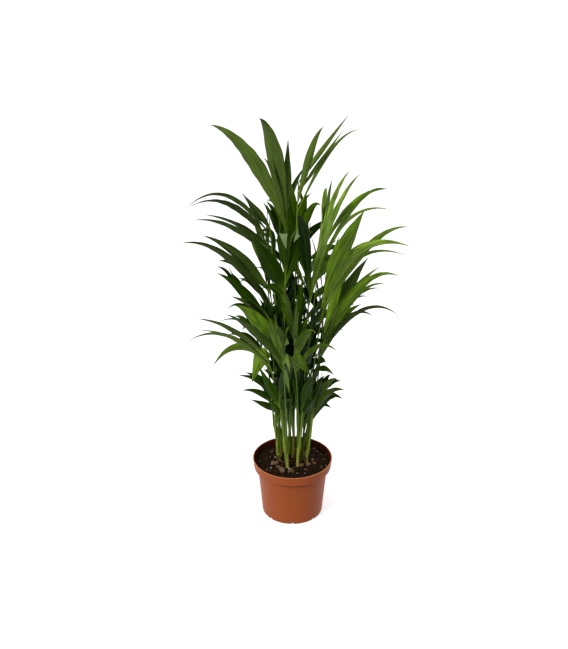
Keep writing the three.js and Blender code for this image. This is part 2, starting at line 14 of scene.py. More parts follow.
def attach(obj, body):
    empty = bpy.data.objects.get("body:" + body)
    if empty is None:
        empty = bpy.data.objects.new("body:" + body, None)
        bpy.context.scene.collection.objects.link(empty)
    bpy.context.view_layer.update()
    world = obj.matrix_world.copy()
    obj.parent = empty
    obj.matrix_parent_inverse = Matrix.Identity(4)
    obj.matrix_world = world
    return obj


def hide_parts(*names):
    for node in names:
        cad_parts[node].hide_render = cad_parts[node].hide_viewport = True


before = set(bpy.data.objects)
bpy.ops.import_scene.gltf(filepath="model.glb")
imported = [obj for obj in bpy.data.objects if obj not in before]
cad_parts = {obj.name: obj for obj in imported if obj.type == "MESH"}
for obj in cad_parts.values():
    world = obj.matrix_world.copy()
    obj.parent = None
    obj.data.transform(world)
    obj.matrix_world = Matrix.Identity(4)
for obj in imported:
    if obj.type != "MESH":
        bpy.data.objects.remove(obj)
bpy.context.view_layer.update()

# POT
# A nursery pot of 17 cm, injection moulded in terracotta-coloured polypropylene: one thin wall that
# steps out into the rim band, with drain holes in the floor and small notches through the bottom edge.
POT_HEIGHT = 130
RIM_RADIUS = 85
BAND_FOOT_RADIUS = 82.5
NECK_HEIGHT = 108
NECK_RADIUS = 74.5
BASE_RADIUS = 65
WALL = 1.8
FLOOR = 2.2
MM = 0.001


def linear(code):
    """An sRGB hex colour as linear RGBA."""
    parts = [int(code[i : i + 2], 16) / 255 for i in (1, 3, 5)]
    return tuple(p / 12.92 if p <= 0.04045 else ((p + 0.055) / 1.055) ** 2.4 for p in parts) + (1,)


def add_node(owner, kind, inputs, **properties):
    """A node of a material or of the world, with its properties set. Each input is set to a value or a hex
    colour, or joined to an output or to the first output of a node."""
    made = owner.node_tree.nodes.new("ShaderNode" + kind)
    for name, value in properties.items():
        setattr(made, name, value)
    for name, value in inputs.items():
        if isinstance(value, str):
            value = linear(value)
        elif isinstance(value, bpy.types.Node):
            value = value.outputs[0]
        if isinstance(value, bpy.types.NodeSocket):
            owner.node_tree.links.new(made.inputs[name], value)
        else:
            made.inputs[name].default_value = value
    return made


def new_material(name):
    """An empty material and add_node for it."""
    material = bpy.data.materials.new(name)
    material.use_nodes = True
    material.node_tree.nodes.clear()
    return material, partial(add_node, material)


def loft(rings):
    """Points and faces of a closed body through rings of equally many points, its ends flat."""
    rings = np.asarray(rings)
    count, sides = rings.shape[:2]
    around = np.arange(sides)
    start = np.arange(count - 1)[:, None] * sides
    a, b = start + around, start + (around + 1) % sides
    quads = np.stack([a, b, b + sides, a + sides], -1).reshape(-1, 4)
    last = (count - 1) * sides
    return rings.reshape(-1, 3), quads.tolist() + [around[::-1].tolist(), (last + around).tolist()]


def add_piece(name, points, faces, materials, numbers=None, sharp=40):
    """A mesh object from points in millimetres, with the number of its material for each face."""
    mesh = bpy.data.meshes.new(name)
    mesh.from_pydata(np.asarray(points) * MM, [], faces)
    for material in materials:
        mesh.materials.append(material)
    if numbers is not None:
        mesh.polygons.foreach_set("material_index", numbers)
    mesh.shade_smooth()
    mesh.set_sharp_from_angle(angle=math.radians(sharp))
    piece = bpy.data.objects.new(name, mesh)
    bpy.context.collection.objects.link(piece)
    return piece


def rounded(profile, steps=4):
    """A profile of [radius, height, rounding] with an arc of so many steps at each rounded corner."""
    out = []
    for k, (*corner, rounding) in enumerate(profile):
        corner = np.array(corner, float)
        if not rounding:
            out.append(corner)
            continue
        before = np.array(profile[k - 1][:2], float) - corner
        after = np.array(profile[k + 1][:2], float) - corner
        start = corner + before / np.linalg.norm(before) * rounding
        end = corner + after / np.linalg.norm(after) * rounding
        for share in np.linspace(0, 1, steps + 1):
            out.append((1 - share) ** 2 * start + 2 * share * (1 - share) * corner + share**2 * end)
    return np.array(out)


def turned(profile, segments, waviness):
    """Points and faces of a body turned about +Z from a profile that starts and ends on the axis."""
    profile = rounded(profile)
    angles = np.arange(segments) * 2 * math.pi / segments
    wave = 1 + waviness * (np.sin(2 * angles + 0.6) + 0.5 * np.sin(5 * angles))
    across, deep = wave * np.cos(angles), wave * np.sin(angles)
    rings = [np.stack([radius * across, radius * deep, 0 * angles + height], -1)
             for radius, height in profile[1:-1]]
    points, faces = loft(rings)
    ends = [[0, 0, profile[0][1]], [0, 0, profile[-1][1]]]
    fans = [[len(points) + k, ring[i], ring[(i + 1) % segments]] for k, ring in enumerate(faces[-2:])
            for i in range(segments)]
    return np.concatenate([points, ends]), faces[:-2] + fans


POT_PROFILE = (
    (0, 0.6, 0),
    (24, 0.6, 2),
    (27, 0, 2),
    (BASE_RADIUS - 0.2, 0, 2.6),
    (BASE_RADIUS + 0.25, 4, 0.8),
    (NECK_RADIUS, NECK_HEIGHT - 1.5, 1.0),
    (BAND_FOOT_RADIUS - 1.0, NECK_HEIGHT, 1.0),
    (BAND_FOOT_RADIUS + 0.1, NECK_HEIGHT + 1.6, 0.9),
    (RIM_RADIUS - 0.6, POT_HEIGHT - 3.2, 0.8),
    (RIM_RADIUS, POT_HEIGHT - 2.4, 0.6),
    (RIM_RADIUS, POT_HEIGHT, 0.8),
    (RIM_RADIUS - WALL - 0.4, POT_HEIGHT, 0.8),
    (BAND_FOOT_RADIUS - WALL, NECK_HEIGHT + WALL + 1.2, 1.5),
    (NECK_RADIUS - WALL, NECK_HEIGHT + WALL - 1.5, 1.5),
    (BASE_RADIUS - WALL, FLOOR, 3),
    (0, FLOOR, 0),
)
POT_SIDES = 144
POT_WAVINESS = 0.0012


def pattern(node, sizes, coordinates, detail=3.0):
    """Noise whose grains are as long as sizes (in millimetres) along the coordinates, which are metres."""
    scales = [1 / (size * MM) for size in sizes]
    scaled = node("VectorMath", {0: coordinates, 1: scales}, operation="MULTIPLY")
    return node("TexNoise", {"Vector": scaled, "Scale": 1.0, "Detail": detail})


def pot_material(name, colour, mottle, rim_highlight, dust, roughness):
    """Injection-moulded polypropylene: satin, a little cloudy in colour, with pale dry dust in specks."""
    material, node = new_material(name)
    place = node("TexCoord", {}).outputs["Object"]
    height = node("SeparateXYZ", {0: place}).outputs["Z"]
    clouds = pattern(node, (26, 26, 40), place)
    body = node("MixRGB", {"Fac": clouds, "Color1": colour, "Color2": mottle})
    # Painted highlight: the top edge of the rim is mixed towards a lighter colour, as if light caught it
    rim_highlight_mask = node("MapRange", {"Value": height, 1: 0.1286, 2: 0.1298, 3: 0.0, 4: 0.6})
    with_rim_highlight = node("MixRGB", {"Fac": rim_highlight_mask, "Color1": body, "Color2": rim_highlight})
    grit = pattern(node, (1.6, 1.6, 1.6), place, 4.0)
    specks = node("MapRange", {"Value": grit, 1: 0.70, 2: 0.76, 3: 0.0, 4: dust})
    whole = node("MixRGB", {"Fac": specks, "Color1": with_rim_highlight, "Color2": "#d8c4b4"})
    wear = pattern(node, (7, 7, 12), place)
    sheen = node("MapRange", {"Value": wear, 3: roughness - 0.07, 4: roughness + 0.09})
    orange_peel = pattern(node, (2.2, 2.2, 3.0), place)
    peel = node("Bump", {"Height": orange_peel, "Strength": 0.5, "Distance": 0.00008})
    plastic = node("BsdfPrincipled", {
        "Base Color": whole, "IOR": 1.49, "Specular IOR Level": 0.15, "Roughness": sheen, "Normal": peel})
    node("OutputMaterial", {"Surface": plastic})
    return material


# The fourth colour of each pot material is the painted highlight along the top of the rim
polypropylene = pot_material("Moulded polypropylene", "#ac5329", "#bb6133", "#d18454", 0.5, 0.45)
# The inside of the pot takes a darker copy: partly a stain of wet peat, partly painted shade inside the pot
stained_and_painted_shade = pot_material("Moulded polypropylene stained by wet peat", "#4a1b0c", "#2f1006", "#7a3c20",
                       0.25, 0.55)
pot = add_piece("nursery_pot", *turned(POT_PROFILE, POT_SIDES, POT_WAVINESS), [polypropylene, stained_and_painted_shade])

# The drain holes and notches are cut out of the moulded wall, each by a plain cutter
HOLES = 8
HOLE_CIRCLE = 46
HOLE_RADIUS = 4.5
HOLE_SIDES = 20
NOTCH_DEPTH = 6
NOTCH_HALF_WIDTH = 3.5
NOTCH_HEIGHT = 4
cut_points, cut_faces = [], []
around = np.arange(HOLE_SIDES) * 2 * math.pi / HOLE_SIDES
for k in range(HOLES):
    hole = 2 * math.pi * (k + 0.5) / HOLES
    x, y = HOLE_CIRCLE * math.cos(hole), HOLE_CIRCLE * math.sin(hole)
    bore = [[[x + HOLE_RADIUS * math.cos(a), y + HOLE_RADIUS * math.sin(a), z] for a in around]
            for z in (-5, 10)]
    notch = 2 * math.pi * k / HOLES
    out = np.array([math.cos(notch), math.sin(notch)])
    along = np.array([-math.sin(notch), math.cos(notch)])
    gate = [[[*((BASE_RADIUS + r * NOTCH_DEPTH) * out + w * NOTCH_HALF_WIDTH * along), z]
             for r, w in ((-1, -1), (1, -1), (1, 1), (-1, 1))] for z in (-NOTCH_HEIGHT, NOTCH_HEIGHT)]
    for rings in (bore, gate):
        points, faces = loft(rings)
        cut_faces += [[i + sum(map(len, cut_points)) for i in face] for face in faces]
        cut_points.append(points)
cutters = add_piece("cutters", np.concatenate(cut_points), cut_faces, [polypropylene])
cut = pot.modifiers.new("Cut", "BOOLEAN")
cut.object = cutters
cut.operation = "DIFFERENCE"
pot.data = bpy.data.meshes.new_from_object(pot.evaluated_get(bpy.context.evaluated_depsgraph_get()))
pot.modifiers.clear()
bpy.data.objects.remove(cutters)
# Faces turned inward and the floor inside take the darker copy, peat stain and painted shade
for face in pot.data.polygons:
    inward = face.normal.x * face.center.x + face.normal.y * face.center.y < 0
    in_floor = face.normal.z > 0.5 and face.center.z < 20 * MM
    face.material_index = int((inward or in_floor) and face.center.z < (POT_HEIGHT - 0.6) * MM)
pot.data.shade_smooth()
pot.data.set_sharp_from_angle(angle=math.radians(40))
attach(pot, "root")
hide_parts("pot")


# SOIL
# Peat potting mix, poured in loose and settled by watering: an uneven dark bed under coarse crumbs,
# tan bits of bark, white grains of perlite and the spent fibrous seeds at the stems' feet.
SOIL_LEVEL = 118
# Breadth, layer of the noise and height of the hummocks, from wide to narrow
HUMMOCKS = ((16, 0.4, 2.2), (5.5, 2.0, 1.3), (2.1, 5.0, 0.7))
# Radius where the bed starts to sink towards the wall, how far it sinks over, and how deep
SINK_START = 52
SINK_REACH = 28
SINK_DEPTH = 3.4
BED_SIDES = 200
BED_RINGS = 88
draw = random.Random(3)


def soil_height(x, y):
    """Height of the bed, which is hummocky and sinks towards the wall."""
    edge = max(0.0, (math.hypot(x, y) - SINK_START) / SINK_REACH)
    relief = sum(noise.noise((x / wide, y / wide, layer)) * high for wide, layer, high in HUMMOCKS)
    return SOIL_LEVEL - 0.2 - SINK_DEPTH * edge**1.5 + relief


def wall_radius(height):
    """Inner radius of the pot's wall, less a hair."""
    stops = ((0, BASE_RADIUS), (NECK_HEIGHT - 1, NECK_RADIUS), (NECK_HEIGHT + 2, BAND_FOOT_RADIUS),
             (POT_HEIGHT, RIM_RADIUS))
    return float(np.interp(height, *zip(*stops))) - WALL - 0.7


def soil_material(name, colours, size, roughness, relief):
    """Grains of one kind: three colours of the same matter, patchy at the grains' own size."""
    material, node = new_material(name)
    place = node("TexCoord", {}).outputs["Object"]
    coarse = pattern(node, (size, size, size), place)
    fine = pattern(node, (size / 5, size / 5, size / 5), place, 5.0)
    wide = node("MapRange", {"Value": coarse, 1: 0.36, 2: 0.64})
    tight = node("MapRange", {"Value": fine, 1: 0.45, 2: 0.72})
    ground = node("MixRGB", {"Fac": wide, "Color1": colours[0], "Color2": colours[1]})
    flecked = node("MixRGB", {"Fac": tight, "Color1": ground, "Color2": colours[2]})
    bump = node("Bump", {"Height": fine, "Strength": 0.8, "Distance": relief * MM})
    matter = node("BsdfPrincipled", {
        "Base Color": flecked, "Roughness": roughness, "Specular IOR Level": 0.1, "Normal": bump})
    node("OutputMaterial", {"Surface": matter})
    return material


peat = soil_material("Damp sphagnum peat", ("#0c0602", "#1b0f06", "#33200f"), 6, 0.95, 0.6)
clod = soil_material("Dry peat crumb", ("#22130a", "#3d2714", "#5f4328"), 3, 0.95, 0.3)
bark = soil_material("Composted bark chip", ("#5a3a1e", "#7c5831", "#a07e52"), 4, 0.9, 0.2)
perlite = soil_material("Expanded perlite", ("#e6e2d8", "#f4f1ea", "#c9c2b4"), 2, 0.85, 0.15)
husk = soil_material("Dry palm seed husk", ("#33241a", "#6a5038", "#9a8260"), 3, 0.9, 0.35)

around = np.arange(BED_SIDES) * 2 * math.pi / BED_SIDES
bed_rings = []
for height in (FLOOR + 0.4, 30, 60, 90, NECK_HEIGHT - 2, NECK_HEIGHT + 3, SOIL_LEVEL - 5):
    radius = wall_radius(height)
    bed_rings.append([[radius * math.cos(a), radius * math.sin(a), height] for a in around])
for radius in np.linspace(wall_radius(SOIL_LEVEL), 0.8, BED_RINGS):
    ring = [(radius * math.cos(a), radius * math.sin(a)) for a in around]
    bed_rings.append([[x, y, soil_height(x, y)] for x, y in ring])
bed = add_piece("peat_bed", *loft(bed_rings), [peat], sharp=180)
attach(bed, "root")
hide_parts("soil")


def ball(steps):
    """Points and faces of a ball of radius 1 mm, its faces near equal."""
    bpy.ops.mesh.primitive_ico_sphere_add(subdivisions=steps, radius=1)
    made = bpy.context.object
    points = np.array([v.co for v in made.data.vertices])
    faces = [list(p.vertices) for p in made.data.polygons]
    bpy.data.objects.remove(made)
    return points, faces


def turn_matrix(angles):
    """Rotation by three angles in turn about X, Y and Z."""
    (cx, sx), (cy, sy), (cz, sz) = [(math.cos(a), math.sin(a)) for a in angles]
    about_x = np.array([[1, 0, 0], [0, cx, -sx], [0, sx, cx]])
    about_y = np.array([[cy, 0, sy], [0, 1, 0], [-sy, 0, cy]])
    about_z = np.array([[cz, -sz, 0], [sz, cz, 0], [0, 0, 1]])
    return about_z @ about_y @ about_x


def strewn(name, count, least, most, shape, roughness, material, steps=1, reach=80.0):
    """Grains strewn over the bed: their size is drawn between two, small ones being the commonest."""
    ball_points, ball_faces = ball(steps)
    points, faces = [], []
    for _ in range(count):
        out, angle = reach * math.sqrt(draw.random()), draw.uniform(0, 2 * math.pi)
        x, y = out * math.cos(angle), out * math.sin(angle)
        size = least + (most - least) * draw.random() ** 3
        jitter = np.array([1 + roughness * noise.noise(Vector(p) * 1.7 + Vector((x, y, 0)))
                           for p in ball_points])[:, None]
        turn = turn_matrix([draw.uniform(-0.6, 0.6), draw.uniform(-0.6, 0.6), draw.uniform(0, 6.3)])
        if math.hypot(x, y) + size / 2 > wall_radius(SOIL_LEVEL):
            continue
        grain = (ball_points * jitter * (np.array(shape) * size / 2)) @ turn.T
        faces += [[i + len(points) * len(ball_points) for i in face] for face in ball_faces]
        points.append(grain + [x, y, soil_height(x, y) + 0.12 * size])
    grains = add_piece(name, np.concatenate(points), faces, [material], sharp=60)
    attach(grains, "root")


strewn("peat_crumbs", 950, 1.4, 5.5, (1.1, 0.9, 0.8), 0.7, peat)
strewn("dry_crumbs", 330, 1.2, 4.5, (1.1, 0.9, 0.75), 0.7, clod)
strewn("bark_chips", 130, 1.5, 7.5, (1.5, 0.6, 0.35), 0.5, bark)
strewn("perlite_grains", 60, 1.0, 3.6, (1.0, 0.95, 0.85), 0.45, perlite)

# Spent seeds lie at the stems' feet, oval and wrapped in coarse fibres: place and length of each
SEEDS = ((-41, -7, 9), (-34, -9, 11), (-30, -23, 9), (-22, -38, 14), (-4, -40, 11), (19, -17, 10),
         (34, -15, 9), (2, 19, 10), (24, 24, 9), (-26, 33, 10), (4, 40, 9), (43, 4, 8))
SEED_SHAPE = (0.62, 0.42, 0.40)
seed_ball, seed_faces = ball(4)
seed_points, all_faces = [], []
for x, y, size in SEEDS:
    turn = turn_matrix([draw.uniform(-0.4, 0.4), draw.uniform(-0.3, 0.3), draw.uniform(0, 6.3)])
    fibres = [1 + 0.16 * noise.noise((p[0] * 1.2, p[1] * 7 + x, p[2] * 7)) for p in seed_ball]
    seed = (seed_ball * np.array(fibres)[:, None] * (np.array(SEED_SHAPE) * size)) @ turn.T
    all_faces += [[i + len(seed_points) * len(seed_ball) for i in face] for face in seed_faces]
    seed_points.append(seed + [x, y, soil_height(x, y) + 0.22 * size])
seeds = add_piece("spent_seeds", np.concatenate(seed_points), all_faces, [husk], sharp=180)
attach(seeds, "root")


# STEMS
# Fourteen seedling stems, each a roll of leaf sheaths grown one out of another: smooth, finely ribbed,
# pale where they leave the soil and greener upwards, some with a torn dry sheath about the foot.
GAP = 0.3
STEM_LEAN = 1
STEM_SPLAY = 12
STEM_PROFILE = ((0, 1.15), (0.05, 1.05), (0.2, 1), (0.6, 0.86), (1, 0.72))
# Letter: x, y, height, radius above the flared foot
STEMS = {
    "a": (-30, 2, 105, 3), "b": (-24, 20, 140, 2.7), "c": (-11, -24, 100, 3.2), "d": (-5, 31, 165, 2.7),
    "e": (2, 13, 180, 3), "f": (10, 29, 150, 2.7), "g": (11, -18, 105, 2.8), "h": (21, 10, 130, 2.8),
    "i": (29, -4, 95, 3.6), "j": (33, 32, 130, 2.8), "k": (-13, 6, 165, 2.7), "l": (11, -2, 155, 2.5),
    "m": (-18, 38, 150, 2.5), "n": (16, 44, 140, 2.5),
}


def stem_point(stem, height):
    x, y = stem[:2]
    out = math.hypot(x, y)
    shift = height * math.tan(math.radians(STEM_LEAN + out / STEM_SPLAY)) / out
    return np.array([x * (1 + shift), y * (1 + shift), SOIL_LEVEL + GAP + height])


def stem_radius(stem, height):
    return stem[3] * float(np.interp(height / stem[2], *zip(*STEM_PROFILE)))


def sheath_material(name, foot, low, high, roughness):
    """Living leaf sheath: waxy, in fine lengthwise ribs, bleached near the soil and green above it."""
    material, node = new_material(name)
    place = node("TexCoord", {}).outputs["Object"]
    height = node("SeparateXYZ", {0: place}).outputs["Z"]
    rising = node("MapRange", {"Value": height, 1: 0.116, 2: 0.150})
    higher = node("MapRange", {"Value": height, 1: 0.150, 2: 0.300})
    base = node("MixRGB", {"Fac": rising, "Color1": foot, "Color2": low})
    upper = node("MixRGB", {"Fac": higher, "Color1": base, "Color2": high})
    streaks = pattern(node, (0.7, 0.7, 26), place)
    contrast = node("MapRange", {"Value": streaks, 1: 0.3, 2: 0.7, 3: 0.0, 4: 0.5})
    streaked = node("MixRGB", {"Fac": contrast, "Color1": upper, "Color2": "#35501a"})
    ribs = node("Bump", {"Height": streaks, "Strength": 0.5, "Distance": 0.0001})
    sheath = node("BsdfPrincipled", {
        "Base Color": streaked, "Roughness": roughness, "Specular IOR Level": 0.4,
        "Specular Tint": "#c0c878", "Normal": ribs})
    node("OutputMaterial", {"Surface": sheath})
    return material


living = sheath_material("Living palm sheath", "#b4a858", "#b4bc50", "#74902a", 0.32)
# A darker copy of the living sheath: painted shade on the stems in the heart of the clump, under the crown
shaded_sheath = sheath_material("Older palm sheath in the heart of the clump", "#746428", "#5e6e1c", "#3c5a0e", 0.4)
papery = sheath_material("Dry palm sheath", "#4a2c16", "#74502b", "#94703f", 0.85)
STEM_SIDES = 28
STEM_RINGS = 56
# Each stem shows the slanting edges of three sheaths, at about these shares of its height
SHEATH_EDGES = (0.12, 0.4, 0.68)
EDGE_SLANT = 5
EDGE_PROUD = 0.25
FLUTES = 9
around = np.arange(STEM_SIDES) * 2 * math.pi / STEM_SIDES
for letter, stem in STEMS.items():
    x, y, tall, radius = stem
    edges = [(tall * draw.uniform(low, low + 0.2), draw.uniform(0, 6.3)) for low in SHEATH_EDGES]
    rings = []
    for height in np.linspace(-5, tall, STEM_RINGS):
        middle = stem_point(stem, height)
        girth = stem_radius(stem, max(height, 0)) * (1 + 0.014 * np.cos(FLUTES * around + radius))
        for edge, side in edges:
            slanted = edge + EDGE_SLANT * np.cos(around - side)
            girth = girth + EDGE_PROUD * np.clip((slanted - height) / 2.5, 0, 1) - 0.16
        rings.append(middle + np.stack([girth * np.cos(around), girth * np.sin(around), 0 * around], -1))
    # Stems in the heart of the clump take the sheath darkened as painted shade
    in_shaded_heart = 0 < y < 32 and abs(x) < 26
    shoot = add_piece("shoot_" + letter, *loft(rings), [shaded_sheath if in_shaded_heart else living])
    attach(shoot, "root")
    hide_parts("stem_" + letter)

# Torn dry sheaths stand about some of the feet, open at one side
for letter in "acegikm":
    stem = STEMS[letter]
    tall, side = draw.uniform(9, 24), draw.uniform(0, 6.3)
    angles = np.linspace(side, side + 4.2, 22)
    rings = []
    for share in np.linspace(0, 1, 12):
        ragged = tall * (0.65 + 0.35 * np.array([noise.noise((a * 2.2, tall, 0)) for a in angles]))
        heights = -3 + (ragged + 3) * share
        flare = stem_radius(stem, 0) + 0.5 + 1.3 * share**2
        middles = np.array([stem_point(stem, h) for h in heights])
        around = np.stack([np.cos(angles), np.sin(angles), 0 * angles], -1)
        rings.append(np.concatenate([middles + around * flare, (middles + around * (flare - 0.35))[::-1]]))
    husked = add_piece("dry_sheath_" + letter, *loft(rings), [papery], sharp=60)
    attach(husked, "root")


# FRONDS
# Feather fronds of a young palm. Each grows as a grooved stalk out of its stem, and its blade is split to
# the rib into long pleated leaflets that fold along their midrib and hang over in thin tails.
UP = np.array([0.0, 0.0, 1.0])
# Name: stem, drop below the stem's tip, azimuth, lean, bend, length, rachis, face, droop, twist, tone and
# fan: [(angle, length, width, own droop), ...] leaflet by leaflet, or (count, length, widest angle) dealt by
# rule. Angles are in degrees, droops in shares of the length
FRONDS = {
    "frond_top_left": ("d", 0, 255, 4.5, 4, 405, 85, 255, 0.28, 0, "dark",
        [(25, 125, 10, 0.62), (-5, 315, 9, 0.4), (-23, 385, 25, 0.41), (-4, 385, 26, 0.41),
         (2, 140, 14, 0)]),
    "frond_top_right": ("e", 0, 35, 1, 3, 435, 60, 245, 0.12, 20, "mid",
        [(18, 330, 6, 0.42), (12, 265, 12, 0.35), (31, 160, 6, 0), (34, 185, 8, 0)]),
    "frond_upper_left": ("a", 0, 235, 2, 12, 430, 80, 300, 0.32, 30, "dark",
        [(-12, 170, 9, 0.62), (-35, 290, 10, 0.31), (-36, 205, 9, 0.27), (-28, 345, 11, 0.45),
         (-24, 325, 8, 0.6), (-30, 115, 12, 0)]),
    "frond_middle_left": ("b", 0, 210, 4.5, 14, 255, 80, 255, 0.34, 0, "dark",
        [(-13, 250, 10, 0.61), (-19, 385, 15, 0.45), (-6, 235, 14, 0.47), (-22, 235, 18, 0.29)]),
    "frond_inner_left": ("a", 30, 250, 4, 6, 265, 60, 290, 0.3, 0, "mid",
        [(-16, 280, 9, 0.59), (-16, 235, 8, 0.43), (-23, 240, 18, 0.3), (-34, 150, 11, 0.2)]),
    "frond_front_left": ("c", 0, 255, 10.5, 16, 190, 45, 275, 0.16, 0, "lit",
        [(-17, 340, 8, 0.51), (-19, 275, 15, 0.24), (-15, 260, 25, 0.35), (-5, 135, 28, 0.08)]),
    "frond_lower_left": ("c", 34, 190, 10.5, 14, 225, 60, 250, 0.34, 0, "bright",
        [(-27, 295, 9, 0.62), (-25, 220, 9, 0.37), (-50, 140, 16, 0.62), (-27, 200, 11, 0.3),
         (-140, 85, 28, 0.2)]),
    "frond_low_left": ("a", 62, 50, 2.5, 4, 110, 34, 260, 0.2, 0, "dark",
        [(-75, 70, 10, 0), (-38, 125, 10, 0.44), (-48, 140, 12, 0.39), (-39, 145, 10, 0.4),
         (-35, 80, 12, 0)]),
    "frond_centre": ("k", 0, 275, 8, 4, 285, 60, 265, 0.06, 0, "dark",
        [(-29, 100, 14, 0.62), (-24, 155, 30, 0.05), (15, 135, 22, 0), (-3, 115, 20, 0)]),
    "frond_upper_right": ("l", 0, 325, 5.5, 6, 285, 70, 285, 0.22, 15, "bright",
        [(6, 370, 14, 0.37), (-12, 385, 9, 0.44), (9, 385, 12, 0.38), (1, 385, 12, 0.35)]),
    "frond_outer_right": ("h", 0, 35, 6, 8, 360, 80, 285, 0.28, 20, "lit",
        [(27, 300, 8, 0.42), (12, 385, 11, 0.49), (45, 60, 12, 0.62), (16, 290, 12, 0.46),
         (-5, 260, 8, 0.62)]),
    "frond_middle_right": ("i", 0, 315, 7.5, 10, 305, 85, 275, 0.34, 0, "bright",
        [(20, 385, 9, 0.45), (17, 385, 20, 0.37), (17, 385, 14, 0.44), (4, 285, 28, 0.21)]),
    "frond_lower_right": ("i", 30, 10, 6.5, 3, 265, 60, 275, 0.3, 0, "lit",
        [(17, 330, 8, 0.52), (14, 385, 13, 0.52), (8, 155, 15, 0), (22, 205, 10, 0.22)]),
    "frond_arching_right": ("j", 0, 10, 10.5, 18, 140, 60, 290, 0.38, 0, "dark",
        [(14, 315, 11, 0.62), (11, 375, 9, 0.62), (6, 300, 28, 0.27), (0, 280, 7, 0.5),
         (10, 270, 7, 0.51)]),
    "frond_low_right": ("i", 52, 305, 9, 3, 105, 36, 275, 0.22, 0, "dark",
        [(17, 130, 9, 0.49), (13, 195, 11, 0.47), (11, 175, 11, 0.49), (2, 105, 11, 0.18)]),
    "frond_front_centre": ("g", 0, 250, 13, 20, 180, 45, 270, 0.25, 0, "mid",
        [(28, 225, 10, 0.61), (-20, 70, 12, 0), (19, 210, 18, 0.51), (140, 50, 24, 0.2)]),
    "frond_top_centre": ("f", 0, 145, 1, 3, 365, 60, 270, 0.1, 0, "dark",
        [(-13, 250, 16, 0.51), (13, 230, 12, 0.55), (-5, 140, 15, 0.11), (11, 120, 16, 0.35)]),
    "frond_front_inner_left": ("c", 62, 230, 8, 6, 130, 35, 262, 0.18, 0, "dark",
        [(-29, 55, 10, 0), (18, 90, 10, 0.41), (-18, 110, 13, 0.01), (11, 235, 13, 0.42)]),
    "frond_front_inner_right": ("g", 60, 295, 9, 6, 110, 35, 278, 0.18, 0, "dark",
        [(-14, 140, 10, 0.46), (16, 85, 10, 0.18), (-13, 105, 13, 0.03), (2, 110, 13, 0)]),
    "frond_front_middle": ("l", 60, 255, 5, 5, 210, 50, 270, 0.12, 0, "dark",
        [(8, 205, 11, 0.56), (-8, 180, 14, 0.24), (5, 185, 14, 0.27)]),
    "frond_side_left_upper": ("k", 30, 150, 6, 8, 370, 80, 10, 0.26, 20, "dark", (7, 165)),
    "frond_side_right_upper": ("e", 34, 358, 8, 8, 370, 80, 175, 0.26, 20, "lit", (7, 165)),
    "frond_side_left": ("k", 72, 240, 9, 14, 230, 70, 0, 0.28, 20, "mid", (7, 150)),
    "frond_side_right": ("g", 24, 345, 13, 14, 230, 70, 185, 0.28, 20, "mid", (7, 150)),
    "frond_back_top_left": ("m", 0, 100, 4, 6, 385, 80, 300, 0.16, 20, "dark", (7, 160)),
    "frond_back_top_right": ("n", 0, 65, 5, 8, 375, 80, 230, 0.16, 20, "mid", (6, 150)),
    "frond_back_top_outer": ("b", 20, 145, 4, 4, 400, 80, 340, 0.16, 20, "dark", (6, 150)),
    "frond_back_right_upper": ("h", 30, 40, 9, 8, 320, 80, 200, 0.24, 20, "mid", (7, 175)),
    "frond_back_right_middle": ("n", 30, 85, 12, 14, 300, 80, 255, 0.26, 20, "lit", (7, 170)),
    "frond_back_middle": ("d", 30, 95, 9, 12, 350, 80, 265, 0.26, 20, "dark", (7, 175)),
    "frond_back_left_upper": ("m", 30, 130, 11, 12, 290, 80, 310, 0.26, 20, "mid", (7, 170)),
    "frond_back_left_outer": ("b", 48, 180, 13, 12, 290, 75, 0, 0.26, 20, "dark", (7, 160)),
    "frond_back_right_outer": ("j", 30, 40, 11, 14, 270, 75, 215, 0.28, 20, "lit", (7, 165)),
    "frond_back_lower": ("d", 62, 55, 14, 18, 220, 70, 270, 0.3, 20, "mid", (7, 160)),
    "frond_back_lower_right": ("n", 64, 25, 15, 20, 200, 65, 240, 0.32, 20, "lit", (6, 150)),
    "frond_back_lower_left": ("m", 64, 175, 16, 20, 200, 65, 330, 0.32, 20, "mid", (6, 150)),
    "frond_back_low": ("f", 80, 95, 16, 16, 130, 45, 255, 0.28, 20, "dark", (6, 100)),
    "frond_side_low_right": ("h", 70, 15, 17, 16, 110, 40, 200, 0.26, 20, "dark", (6, 90)),
    "frond_side_low_left": ("b", 84, 175, 16, 16, 110, 40, 350, 0.26, 20, "dark", (5, 90)),
    "frond_front_side_left": ("c", 36, 266, 18, 14, 280, 80, 0, 0.26, 20, "mid", (7, 150)),
    "frond_front_side_right": ("g", 25, 262, 16, 12, 300, 80, 180, 0.26, 20, "mid", (7, 150)),
    "frond_inner_middle": ("c", 40, 0, 3, 8, 130, 45, 270, 0.2, 15, "dark", (7, 100, 24)),
    "frond_inner_back": ("d", 100, 110, 12, 8, 200, 45, 270, 0.2, 15, "dark", (7, 140, 24)),
    "frond_inner_right": ("l", 80, 25, 12, 12, 60, 45, 270, 0.24, 15, "dark", (7, 140, 24)),
}
RIB_FOOT_RADIUS = 1.9
RIB_END_RADIUS = 0.9
FAN_WIDEST = 46
FAN_CLOSING = 0.65
FAN_STRAY = 12
FAN_LENGTH_STRAY = 0.3
FAN_BELLY = 0.8
FAN_WIDTH_SHARE = 0.085
FAN_WIDTH_ADDED = 2
FAN_SEED = 7
LEAF_SUNK = 3
LEAF_LIFT = 6
CLEAR = 4.5
SAMPLE_STEP = 4
SAMPLE_SECTIONS = 10
TURNS = (0, 4, -4, 8, -8, 12, -12, 17, -17)


def unit(vectors):
    return vectors / np.linalg.norm(vectors, axis=-1, keepdims=True)


def direction(azimuth, lean):
    """Unit vectors of leans towards an azimuth, in radians."""
    out = np.sin(lean)
    return np.stack([out * math.cos(azimuth), out * math.sin(azimuth), np.cos(lean)], -1)


